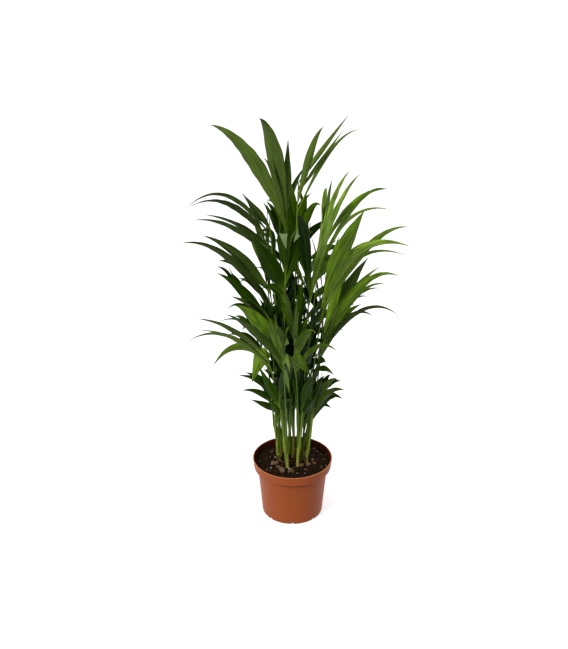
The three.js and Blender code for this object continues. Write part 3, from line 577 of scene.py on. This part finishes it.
class Frond:
    """One frond's row, with its rib as an arc in the plane of its azimuth."""

    def __init__(self, name, row):
        (self.name, self.letter, self.drop, self.azimuth, self.lean, self.bend, self.length, self.rachis,
         self.face, self.droop, self.twist, self.tone, self.fan) = (name, *row)
        self.stem = STEMS[self.letter]
        self.dealt = False

    def foot(self):
        height = self.stem[2] - self.drop
        foot = stem_point(self.stem, height)
        if self.drop == 0:
            start = abs(math.radians(self.lean - self.bend / 2))
            return foot + UP * (GAP + RIB_FOOT_RADIUS * math.sin(start))
        reach = stem_radius(self.stem, height) + RIB_FOOT_RADIUS + GAP
        return foot + direction(math.radians(self.azimuth), math.pi / 2) * reach

    def on_rib(self, shares):
        """Points and directions of the rib at shares of its length."""
        azimuth, bend = math.radians(self.azimuth), math.radians(self.bend)
        start = math.radians(self.lean) - bend / 2
        leans = start + bend * np.asarray(shares, float)
        radius = self.length / bend
        out = radius * (math.cos(start) - np.cos(leans))
        rise = radius * (np.sin(leans) - math.sin(start))
        points = self.foot() + out[:, None] * direction(azimuth, math.pi / 2) + rise[:, None] * UP
        return points, direction(azimuth, leans)


def dealt_fan(number, count, length, widest=FAN_WIDEST):
    """Leaflets on alternate sides, closing towards the last, which ends the rib."""
    fan = []
    for k in range(count):
        share = k / (count - 1)
        angle = (-1 if k % 2 else 1) * widest * (1 - FAN_CLOSING * share) if k < count - 1 else 0
        belly = FAN_BELLY * (1 + share * (1 - share))
        long = length * belly * (1 + FAN_LENGTH_STRAY * (next(number) - 0.5))
        angle += FAN_STRAY * (next(number) - 0.5)
        fan.append([angle, long, long * FAN_WIDTH_SHARE + FAN_WIDTH_ADDED])
    return fan


def seeded_numbers(seed):
    while True:
        seed = seed * 16807 % 2147483647
        yield seed / 2147483647


class Leaf:
    """One leaflet's middle line: it leaves the rib in the blade's plane and sags as it goes."""

    def __init__(self, frond, index, blade, turn):
        angle, self.length, self.width, *own = blade
        self.droop = own[0] if own else frond.droop
        self.nod, self.askew, self.bow, self.hang = 0.0, 0.0, 0.0, 0.0
        self.widest = 0.2 if abs(angle) > 90 else 0.42
        self.loose = frond.dealt
        share = 1 - frond.rachis / frond.length * (1 - index / (len(frond.fan) - 1))
        (point,), (along,) = frond.on_rib([share])
        across = unit(np.cross(along, direction(math.radians(frond.face), math.pi / 2)))
        upper = np.cross(across, along)
        swing = math.radians(angle + turn)
        lift = math.sin(math.radians(LEAF_LIFT if int(index) % 2 else -LEAF_LIFT))
        self.heading = unit(along * math.cos(swing) + across * math.sin(swing) + upper * lift)
        twist = math.radians(frond.twist if angle > 0 else -frond.twist)
        self.top = (upper * math.cos(twist) + np.cross(self.heading, upper) * math.sin(twist)
                    + self.heading * self.heading.dot(upper) * (1 - math.cos(twist)))
        self.root = point - self.heading * LEAF_SUNK

    def on_line(self, shares):
        """Middles, sides and upper directions at shares of the length."""
        shares = np.asarray(shares, float)[:, None]
        chord = unit(self.heading - UP * self.droop)
        rise = unit(UP - chord * chord.dot(UP)) * self.bow * 4
        sag = UP * (self.droop * shares**2 + self.hang * shares**4)
        steeper = UP * (2 * self.droop * shares + 4 * self.hang * shares**3)
        middles = self.root + self.length * (self.heading * shares - sag + rise * shares * (1 - shares))
        along = unit(self.heading - steeper + rise * (1 - 2 * shares))
        sides = unit(np.cross(self.top, along))
        return middles, sides, np.cross(along, sides)

    def samples(self, first):
        """Points over the blade, for the test of room."""
        steps = math.ceil(self.length / SAMPLE_SECTIONS / SAMPLE_STEP)
        shares = [(k + j / steps) / SAMPLE_SECTIONS
                  for k in range(first, SAMPLE_SECTIONS) for j in range(steps)]
        points = []
        for share, middle, side in zip(shares, *self.on_line(shares)[:2]):
            half = self.width / 2 * plain_width(share)
            columns = max(1, math.ceil(half / SAMPLE_STEP))
            points += [middle + side * half * c / columns for c in range(-columns, columns + 1)]
        return points + [self.on_line([1])[0][0]]


def plain_width(share):
    """Half width that the test of room reckons with, in shares of the greatest."""
    rise = 1 - min(share / 0.4, 1)
    fall = max(0, (share - 0.4) / 0.6)
    return (1 - 0.85 * rise**2) * (1 - fall**1.4)


# The points already taken are kept by cells as wide as the clearance
taken = {}


def cell(point):
    return tuple(math.floor(value / CLEAR) for value in point)


def take(points, owner):
    for point in points:
        taken.setdefault(cell(point), []).append((*point, owner))


def crowded(points, owner, room=CLEAR):
    """Whether points come nearer than the room to what another owner has taken."""
    for px, py, pz in points:
        for key in product(*((c - 1, c, c + 1) for c in cell((px, py, pz)))):
            for qx, qy, qz, other in taken.get(key, ()):
                if other != owner and (px - qx) ** 2 + (py - qy) ** 2 + (pz - qz) ** 2 < room**2:
                    return True
    return False


number = seeded_numbers(FAN_SEED)
for letter, stem in STEMS.items():
    steps = math.ceil(stem[2] / SAMPLE_STEP)
    take([stem_point(stem, stem[2] * k / steps) for k in range(steps)], letter)
fronds = [Frond(name, row) for name, row in FRONDS.items()]
for frond in fronds:
    if isinstance(frond.fan, tuple):
        frond.fan, frond.dealt = dealt_fan(number, *frond.fan), True
    take(frond.on_rib(np.linspace(0, 1, math.ceil(frond.length / SAMPLE_STEP) + 1))[0], frond.name)


def grow(frond, index, blade, room, reach=math.inf):
    """Adds the leaflet at its first turn that leaves it room, or none, and none that reaches too far out."""
    lines = (Leaf(frond, index, blade, turn) for turn in TURNS)
    leaf = next((line for line in lines if not crowded(line.samples(1), frond.name, room)), None)
    if leaf and math.hypot(*leaf.on_line([1])[0][0][:2]) < reach:
        take(leaf.samples(0), frond.name)
        frond.leaves.append(leaf)


for frond in fronds:
    frond.leaves = []
    for index, blade in enumerate(frond.fan):
        grow(frond, index, blade, CLEAR)
# Finer leaflets stand across the rib from those of the side, back and inner fronds
CLEAR_FINE = 2.6
SHORT_FROND = 140
TALL_FROND = 340
FINE_REACH = 118
finer = random.Random(11)
for frond in (frond for frond in fronds if frond.dealt and SHORT_FROND < frond.length < TALL_FROND):
    for index, (angle, long, wide) in enumerate(frond.fan[:-1]):
        long *= finer.uniform(0.7, 0.95)
        blade = (-angle * finer.uniform(0.8, 1.1), long, wide * 0.8, frond.droop + finer.uniform(0, 0.12))
        grow(frond, index + 0.4, blade, CLEAR_FINE, FINE_REACH)
# Young fronds, short and drawn in the shaded look as painted shade, fill the heart of the clump: lengths of
# the three beside each stem
YOUNG_LENGTHS = ((110, 170), (170, 260), (250, 350))
YOUNG_FAN = (7, 115, 36)
YOUNG_TRIES = 12
YOUNG_REACH = 72
YOUNG_BROADER = 1.6
CLEAR_YOUNG = 1.8
for letter, stem in STEMS.items():
    for k, lengths in enumerate(YOUNG_LENGTHS):
        for _ in range(YOUNG_TRIES):
            rib = (finer.uniform(0.1, 0.6) * stem[2], finer.uniform(0, 360), finer.uniform(2, 9), 8,
                   finer.uniform(*lengths), 55, finer.choice((90, 270)) + finer.uniform(-60, 60),
                   0.25, 20)
            young = Frond("frond_young_" + letter + str(k), (letter, *rib, "dark", None))
            line = young.on_rib(np.linspace(0, 1, math.ceil(young.length / SAMPLE_STEP) + 1))[0]
            if not crowded(line[2:], letter, CLEAR_FINE):
                take(line, young.name)
                young.fan = dealt_fan(iter(finer.random, None), *YOUNG_FAN)
                young.leaves, young.dealt = [], True
                for index, blade in enumerate(young.fan):
                    grow(young, index, blade, CLEAR_YOUNG, YOUNG_REACH)
                for leaf in young.leaves:
                    leaf.width *= YOUNG_BROADER
                fronds.append(young)
                break
# Frond: its leaflets that plainly arch, by how much they bow up at the middle and hang at the tip, as
# shares of their length
ARCHED = {"frond_upper_left": {0: (0.15, 0.03)}, "frond_lower_left": {2: (0.1, 0.08)},
          "frond_outer_right": {0: (0.1, 0)}, "frond_middle_right": {0: (0.08, 0.03), 1: (0.08, 0.03)}}
# The other leaflets of the front fronds hang a little at the tip, and all of them are a little broader
TAIL_HANG = 0.02
FRONT_BROADER = 1.1
# The thin tails of the leaflets of the front fronds reach a little beyond those of the solids
TAIL_ADDED = 1.035
# Leaflets left out again, so that the sky shows through where it does in the real crown
OPEN = {"frond_back_left_upper": (5,), "frond_back_lower_right": (0, 2), "frond_back_top_right": (2, 3),
        "frond_back_top_left": (2,), "frond_side_right": (2, 4), "frond_side_left_upper": (3, 4),
        "frond_middle_left": (2,)}
# Frond: which of its leaflets have their tips folded over towards the upper side, by how much, how far askew
FOLDED = {"frond_centre": {2: (2.2, 0.5), 3: (2.7, -0.35)}}
FOLDED_WIDEST = 0.6
FOLDED_LONGER = 1.18
# One broad leaflet stands at the right of the top, and the short fronds near the foot have broader ones
STRAP = ("frond_upper_right", 1)
STRAP_BROADER = 1.9
SHORT_BROADER = 1.3
for frond in fronds:
    for index, leaf in enumerate(frond.leaves):
        if (frond.name, index) == STRAP:
            leaf.width *= STRAP_BROADER
        if not frond.dealt:
            leaf.bow, leaf.hang = ARCHED.get(frond.name, {}).get(index, (0, TAIL_HANG))
            leaf.width *= FRONT_BROADER
            leaf.length *= TAIL_ADDED
        if index in FOLDED.get(frond.name, {}):
            leaf.nod, leaf.askew = FOLDED[frond.name][index]
            leaf.widest = FOLDED_WIDEST
            leaf.length *= FOLDED_LONGER
        if frond.name in FRONDS and frond.length < SHORT_FROND:
            leaf.width *= SHORT_BROADER
    left_out = OPEN.get(frond.name, ())
    frond.leaves = [leaf for index, leaf in enumerate(frond.leaves) if index not in left_out]


def leaf_width(shares, widest):
    """Half width of a leaflet in shares of the greatest: a narrow root, a strap, a long thin tail."""
    rise = np.clip(shares / widest, 0, 1)
    fall = np.clip((shares - widest) / (1 - widest), 0, 1)
    strap = (0.15 + 0.85 * np.sin(rise * math.pi / 2) ** 1.3) * (1 - fall**1.35) ** 1.15
    return strap + 0.012 * (1 - shares)


LEAF_SECTIONS = 38
LONG_LEAF = 130
BROADER = 1.14
# How far a leaflet may turn about its midrib, in degrees, on the side and back fronds and on the front ones
LOOSE_TURN = 22
FIRM_TURN = 9
MIDRIB_HALF = 0.7


def past(shares, start, reach):
    """How far shares are past a start, from 0 to 1 over a reach."""
    return np.clip((shares - start) / reach, 0, 1)


def swung(first, second, angles):
    """Two directions square to one another, turned by angles from the first towards the second."""
    return first * np.cos(angles) + second * np.sin(angles), second * np.cos(angles) - first * np.sin(angles)


def blade_rings(leaf, draw):
    """Rings of a leaflet, its points' places across and along it in metres and in shares, its columns."""
    fine = leaf.length > LONG_LEAF
    columns = (3 if fine else 2) + round(leaf.width / 4)
    down = np.linspace(0, 1, LEAF_SECTIONS if fine else LEAF_SECTIONS // 2)[:, None]
    middles, sides, uppers = leaf.on_line(down[:, 0])
    if leaf.nod:
        over = past(down, 0.68, 0.16)
        along, uppers = swung(np.cross(sides, uppers), uppers, leaf.nod * over**1.5 * (1.5 - 0.5 * over))
        steps = np.linalg.norm(np.diff(middles, axis=0), axis=1)[:, None] * (along[1:] + along[:-1]) / 2
        middles = middles[0] + np.concatenate([np.zeros((1, 3)), np.cumsum(steps, axis=0)])
        middles = middles + sides * leaf.width * leaf.askew * past(down, 0.7, 0.3)
    limp = draw.uniform(0, 0.14) * leaf.loose * past(down, 0.4, 0.6) ** 2
    middles = middles - UP * leaf.length * limp
    most = LOOSE_TURN if leaf.loose else FIRM_TURN
    turn = math.radians(draw.uniform(-most, most)) * down**1.4
    turn += math.radians(7) * np.sin(down * draw.uniform(4, 8)) * down
    sides, uppers = swung(sides, uppers, turn)
    sway = draw.uniform(-0.010, 0.010) * np.sin(down * math.pi * draw.uniform(1, 2)) * (1 - down)
    middles = middles + sides * leaf.length * sway
    half = leaf.width * BROADER / 2 * leaf_width(down, leaf.widest)
    across = np.linspace(1, -1, 2 * columns + 1)
    # The blade is folded along its midrib, pleated between the veins and wavy at its edges
    fold = math.tan(math.radians(draw.uniform(0.4, 0.9) * 24)) * (1 - 0.55 * down)
    height = -fold * half * (np.sqrt(across**2 + 0.012) - 0.11)
    pleats = max(2, round(leaf.width / 6))
    height += 0.05 * half * np.cos(2 * math.pi * pleats * across) * (1 - across**2) * (1 - 0.6 * down)
    phases = np.where(across > 0, draw.uniform(0, 6.3), draw.uniform(0, 6.3))
    waves = np.sin(2 * math.pi * draw.uniform(3, 6) * leaf.length / 250 * down + phases)
    height += draw.uniform(0.04, 0.12) * half * across**2 * waves * np.sin(down * math.pi) ** 0.6
    midrib = np.exp(-((across * half / MIDRIB_HALF) ** 2))
    thick = (0.16 + 0.2 * (1 - across**2)) * np.clip(half / 1.2, 0.25, 1)
    skins = (height + thick / 2 + 0.10 * midrib, height - thick / 2 - 0.35 * midrib * (1 - 0.7 * down))
    flat = middles[:, None] + sides[:, None] * (across * half)[..., None]
    top, under = (flat + uppers[:, None] * skin[..., None] for skin in skins)
    place = np.stack(np.broadcast_arrays(across * half * MM, down * leaf.length * MM), -1)
    share = np.stack(np.broadcast_arrays(across / 2 + 0.5, down), -1)
    rings, *maps = (np.concatenate([front, back[:, ::-1]], 1)
                    for front, back in ((top, under), (place, place), (share, share)))
    return rings, [values.reshape(-1, 2) for values in maps], columns


RIB_SECTIONS = 44
RIB_SIDES = 14
SHEATH_REACH = 30
GROOVE = 0.28


def stalk_rings(frond):
    """Rings of the rib: it leaves the stem inside its upper sheath, and is grooved on its upper side."""
    height = frond.stem[2] - frond.drop
    before = np.linspace(-SHEATH_REACH, 0, 13)[:-1]
    foot = frond.foot()
    outward = foot - stem_point(frond.stem, height)
    hugging = [stem_point(frond.stem, height + below) + outward * (1 + below / SHEATH_REACH) ** 0.7
               for below in before]
    centres = np.concatenate([hugging, frond.on_rib(np.linspace(0, 1, RIB_SECTIONS))[0]])
    along = unit(np.gradient(centres, axis=0))
    far = np.concatenate([before, np.linspace(0, frond.length, RIB_SECTIONS)])
    radius = np.interp(far / frond.length, (0, 1), (RIB_FOOT_RADIUS, RIB_END_RADIUS))
    if frond.drop == 0:
        swell = stem_radius(frond.stem, height) + 0.1 - RIB_FOOT_RADIUS
        radius = radius + swell * np.exp(-np.clip(far, 0, None) / 16)
    else:
        radius = radius + 0.5 * np.exp(-np.clip(far, 0, None) / 10)
    face = direction(math.radians(frond.face), math.pi / 2)
    side = unit(np.cross(face, along))
    upper = np.cross(along, side)
    angles = np.arange(RIB_SIDES) * 2 * math.pi / RIB_SIDES
    groove = 1 - GROOVE * np.clip(np.sin(angles), 0, 1) ** 6
    rings = centres[:, None] + radius[:, None, None] * groove[None, :, None] * (
        np.cos(angles)[None, :, None] * side[:, None] + np.sin(angles)[None, :, None] * upper[:, None])
    return rings, far


def blade_material(name, deep, fresh, vein, gloss, roughness, glow, relief):
    """Living leaf blade: waxy skin over fine lengthwise veins, paler midrib, yellow-green at the root, and
    a little light coming through."""
    material, node = new_material(name)
    place = node("UVMap", {}, uv_map="Blade")
    share = node("SeparateXYZ", {0: node("UVMap", {}, uv_map="Share")})
    tint = node("Attribute", {}, attribute_name="tint").outputs["Fac"]
    aside = node("CombineXYZ", {0: tint, 1: tint})
    apart = node("VectorMath", {0: place, 1: aside}, operation="ADD")
    veins = pattern(node, (0.9, 70, 1), apart, 2.0)
    patches = pattern(node, (3.5, 60, 1), apart, 2.0)
    streaks = node("MapRange", {"Value": veins, 1: 0.38, 2: 0.66, 3: 0.0, 4: 0.45})
    broad = node("MapRange", {"Value": patches, 1: 0.36, 2: 0.62, 3: 0.0, 4: 0.9})
    ground = node("MixRGB", {"Fac": broad, "Color1": deep, "Color2": fresh})
    veined = node("MixRGB", {"Fac": streaks, "Color1": ground, "Color2": vein})
    off_middle = node("Math", {0: node("SeparateXYZ", {0: place})}, operation="ABSOLUTE")
    on_midrib = node("MapRange", {"Value": off_middle, 1: 0.0003, 2: 0.0009, 3: 0.22, 4: 0.0})
    ribbed = node("MixRGB", {"Fac": on_midrib, "Color1": veined, "Color2": "#75902f"})
    at_root = node("MapRange", {"Value": share.outputs[1], 1: 0.0, 2: 0.2, 3: 0.7, 4: 0.0})
    rooted = node("MixRGB", {"Fac": at_root, "Color1": ribbed, "Color2": "#6c8a20"})
    shade = node("MapRange", {"Value": tint, 3: 0.66, 4: 1.34})
    toned = node("HueSaturation", {"Color": rooted, "Value": shade})
    dry = node("MapRange", {"Value": share.outputs[1], 1: 0.965, 2: 0.995})
    whole = node("MixRGB", {"Fac": dry, "Color1": toned, "Color2": "#6b5a2c"})
    sheen = node("MapRange", {"Value": patches, 3: roughness - 0.06, 4: roughness + 0.08})
    ribs = node("Bump", {"Height": veins, "Strength": 0.6, "Distance": relief * MM})
    skin = node("BsdfPrincipled", {
        "Base Color": whole, "Roughness": sheen, "Specular IOR Level": 0.2, "Specular Tint": gloss,
        "Normal": ribs})
    light = node("HueSaturation", {"Color": whole, "Saturation": 1.1, "Value": 1.8})
    through = node("BsdfTranslucent", {"Color": light})
    blade = node("MixShader", {0: glow, 1: skin, 2: through})
    node("OutputMaterial", {"Surface": blade})
    return material


# Look: deepest green, fresher green, vein colour and tint of the gloss of the upper skin, then the same
# of the underside. Besides some real difference in green, the looks are lighter and darker copies of one
# leaf that paint light and shade: lit and bright for leaflets in the light, waxy paler for those high in
# the light, dark and shaded for those deep in the crown's shade. Folded has the pale underside of a
# turned tip
LOOKS = {
    "dark": (("#0c2400", "#203c02", "#38560e", "#80a038"), ("#183404", "#2c4a0a", "#4a6628", "#80a038")),
    "mid": (("#233e02", "#426006", "#62801c", "#9cb04a"), ("#3c5810", "#56741c", "#80964a", "#9cb04a")),
    "lit": (("#2a4c02", "#6c981a", "#9cb844", "#b8cc68"), ("#426210", "#80a036", "#a8bc68", "#b8cc68")),
    "bright": (("#386806", "#9ecc32", "#d0e878", "#d4e48c"), ("#547e1c", "#a4c454", "#c8dc90", "#d4e48c")),
    "shaded": (("#051a00", "#0e2c00", "#224408", "#40580c"), ("#082200", "#163604", "#2e4e14", "#40580c")),
    "waxy": (("#38500a", "#506a18", "#768a48", "#dce0c8"), ("#465e1c", "#5e762c", "#84945a", "#dce0c8")),
    "folded": (("#0c2400", "#203c02", "#38560e", "#80a038"), ("#4e6236", "#6c7e50", "#8e9c74", "#e8f0d8")),
    "dull": (("#24380a", "#384e14", "#586a34", "#b8c890"), ("#324818", "#465c24", "#687c48", "#b8c890")),
}
# The fronds drawn in another look than their tone, mostly lighter or darker as painted light and shade:
# waxy and paler at the top where the light falls, dull in the arms on the left, shaded deep in the clump
OTHER_LOOKS = {"frond_top_left": "waxy", "frond_top_right": "waxy", "frond_upper_left": "dull",
               "frond_middle_left": "dull", "frond_arching_right": "dull", "frond_inner_middle": "shaded",
               "frond_inner_back": "shaded", "frond_inner_right": "shaded", "frond_back_low": "shaded",
               "frond_front_centre": "lit", "frond_inner_left": "dark", "frond_lower_left": "waxy",
               "frond_top_centre": "mid"}
stalk = sheath_material("Living palm petiole", "#a8b64e", "#98b040", "#789a28", 0.34)
# A darker copy of the petiole, painted shade on the side, back, inner and young fronds
shaded_stalk = sheath_material("Older palm petiole", "#74862a", "#647e22", "#4e6c18", 0.4)
skins = {look: (blade_material("Palm leaf upper skin " + look, *upper, 0.38, 0.10, 0.06),
                blade_material("Palm leaf underside " + look, *under, 0.55, 0.10, 0.09))
         for look, (upper, under) in LOOKS.items()}
# Frond: its leaflets drawn in another look than the rest of it, lighter or darker as painted light and
# shade, or with the pale underside of a folded tip
ODD_LEAVES = {"frond_upper_right": {1: "shaded"}, "frond_front_left": {0: "mid", 1: "mid"},
              "frond_lower_left": {2: "lit", 4: "lit"}, "frond_middle_right": {0: "lit", 3: "lit"},
              "frond_centre": {2: "folded", 3: "folded"}, "frond_inner_left": {3: "waxy"},
              "frond_outer_right": {0: "bright", 3: "bright"}, "frond_low_right": {1: "mid", 2: "waxy"},
              "frond_front_middle": {0: "mid", 1: "mid"},
              "frond_front_inner_right": {0: "shaded", 1: "shaded", 2: "shaded"}}
for frond in fronds:
    leaf_draw = random.Random(frond.name)
    rings, far = stalk_rings(frond)
    points, faces = loft(rings)
    count = len(points)
    numbers = [0] * len(faces)
    points, tints = [points], [np.full(count, 0.5)]
    maps = {"Blade": [np.stack([np.zeros(count), np.repeat(far, RIB_SIDES) * MM], -1)],
            "Share": [np.full((count, 2), 0.5)]}
    # Fronds without a row of their own, the young ones in the heart, take the shaded look: painted shade
    look = OTHER_LOOKS.get(frond.name, frond.tone if frond.name in FRONDS else "shaded")
    odd = ODD_LEAVES.get(frond.name, {})
    looks = [look, *odd.values()]
    for index, leaf in enumerate(frond.leaves):
        rings, places, columns = blade_rings(leaf, leaf_draw)
        leaf_points, leaf_faces = loft(rings)
        start, sides = sum(map(len, points)), rings.shape[1]
        faces += [[i + start for i in face] for face in leaf_faces]
        upper = 1 + 2 * looks.index(odd.get(index, look))
        numbers += [upper if k % sides < 2 * columns else upper + 1 for k in range(len(leaf_faces))]
        points.append(leaf_points)
        tints.append(np.full(len(leaf_points), leaf_draw.random()))
        for values, place in zip(maps.values(), places):
            values.append(place)
    # Fronds dealt by rule take the petiole darkened as painted shade
    materials = [shaded_stalk if frond.dealt else stalk, *(skin for name in looks for skin in skins[name])]
    grown = add_piece(frond.name.replace("frond", "feather"), np.concatenate(points), faces, materials,
                      numbers, sharp=180)
    corners = np.empty(len(grown.data.loops), int)
    grown.data.loops.foreach_get("vertex_index", corners)
    for name, values in maps.items():
        layer = grown.data.uv_layers.new(name=name)
        layer.uv.foreach_set("vector", np.concatenate(values)[corners].ravel())
    tint = grown.data.attributes.new("tint", "FLOAT", "POINT")
    tint.data.foreach_set("value", np.concatenate(tints))
    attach(grown, "root")
    if frond.name in FRONDS:
        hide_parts(frond.name)


# STAGE
# A wide pale floor of smooth paper, evenly lit, so that the plant stands out against near white.
paper, node = new_material("Smooth white paper")
sheet = node("BsdfPrincipled", {
    "Base Color": "#fafafa", "Roughness": 1.0, "Specular IOR Level": 0.0,
    "Emission Color": "#ffffff", "Emission Strength": 0.4})
node("OutputMaterial", {"Surface": sheet})
bpy.ops.mesh.primitive_circle_add(vertices=96, radius=30, fill_type="NGON")
floor = bpy.context.object
floor.name = "floor"
floor.data.materials.append(paper)
floor.visible_diffuse = False

sky = bpy.data.worlds.new("Soft white room")
bpy.context.scene.world = sky
sky.use_nodes = True
sky.node_tree.nodes.clear()
node = partial(add_node, sky)
view = node("TexCoord", {}).outputs["Generated"]
up = node("SeparateXYZ", {0: view}).outputs[2]
ceiling = node("MapRange", {"Value": up, 1: 0.0, 2: 1.0, 3: 0.18, 4: 1.15})
# The camera sees the room as white as the floor, whichever way it looks
straight = node("LightPath", {}).outputs["Is Camera Ray"]
white = node("Math", {0: straight, 1: 1.4}, operation="MULTIPLY")
seen = node("Math", {0: ceiling, 1: white}, operation="MAXIMUM")
node("OutputWorld", {"Surface": node("Background", {"Strength": seen})})
# Name: place in metres, side of the softbox in metres, power in watts; each faces the middle of the crown
LAMPS = {"key": ((-1.7, -1.9, 2.1), 0.7, 58), "fill": ((1.9, -1.8, 1.7), 0.9, 8),
         "back": ((0.6, 2.3, 2.2), 0.9, 12)}
for name, (place, side, power) in LAMPS.items():
    lamp = bpy.data.lights.new(name, "AREA")
    lamp.energy, lamp.size = power, side
    holder = bpy.data.objects.new(name, lamp)
    holder.location = place
    holder.rotation_euler = (Vector((0, 0, 0.5)) - Vector(place)).to_track_quat("-Z", "Y").to_euler()
    bpy.context.collection.objects.link(holder)

lens = bpy.data.cameras.new("camera")
lens.sensor_fit = "VERTICAL"
lens.sensor_height = 36
lens.lens = 1040 / 649 * 36
camera = bpy.data.objects.new("camera", lens)
camera.location = (0, -1.9, 1.342)
camera.rotation_euler = (math.radians(64.7), 0, math.radians(0.55))
bpy.context.collection.objects.link(camera)
bpy.context.scene.camera = camera
bpy.context.scene.view_settings.view_transform = "Standard"
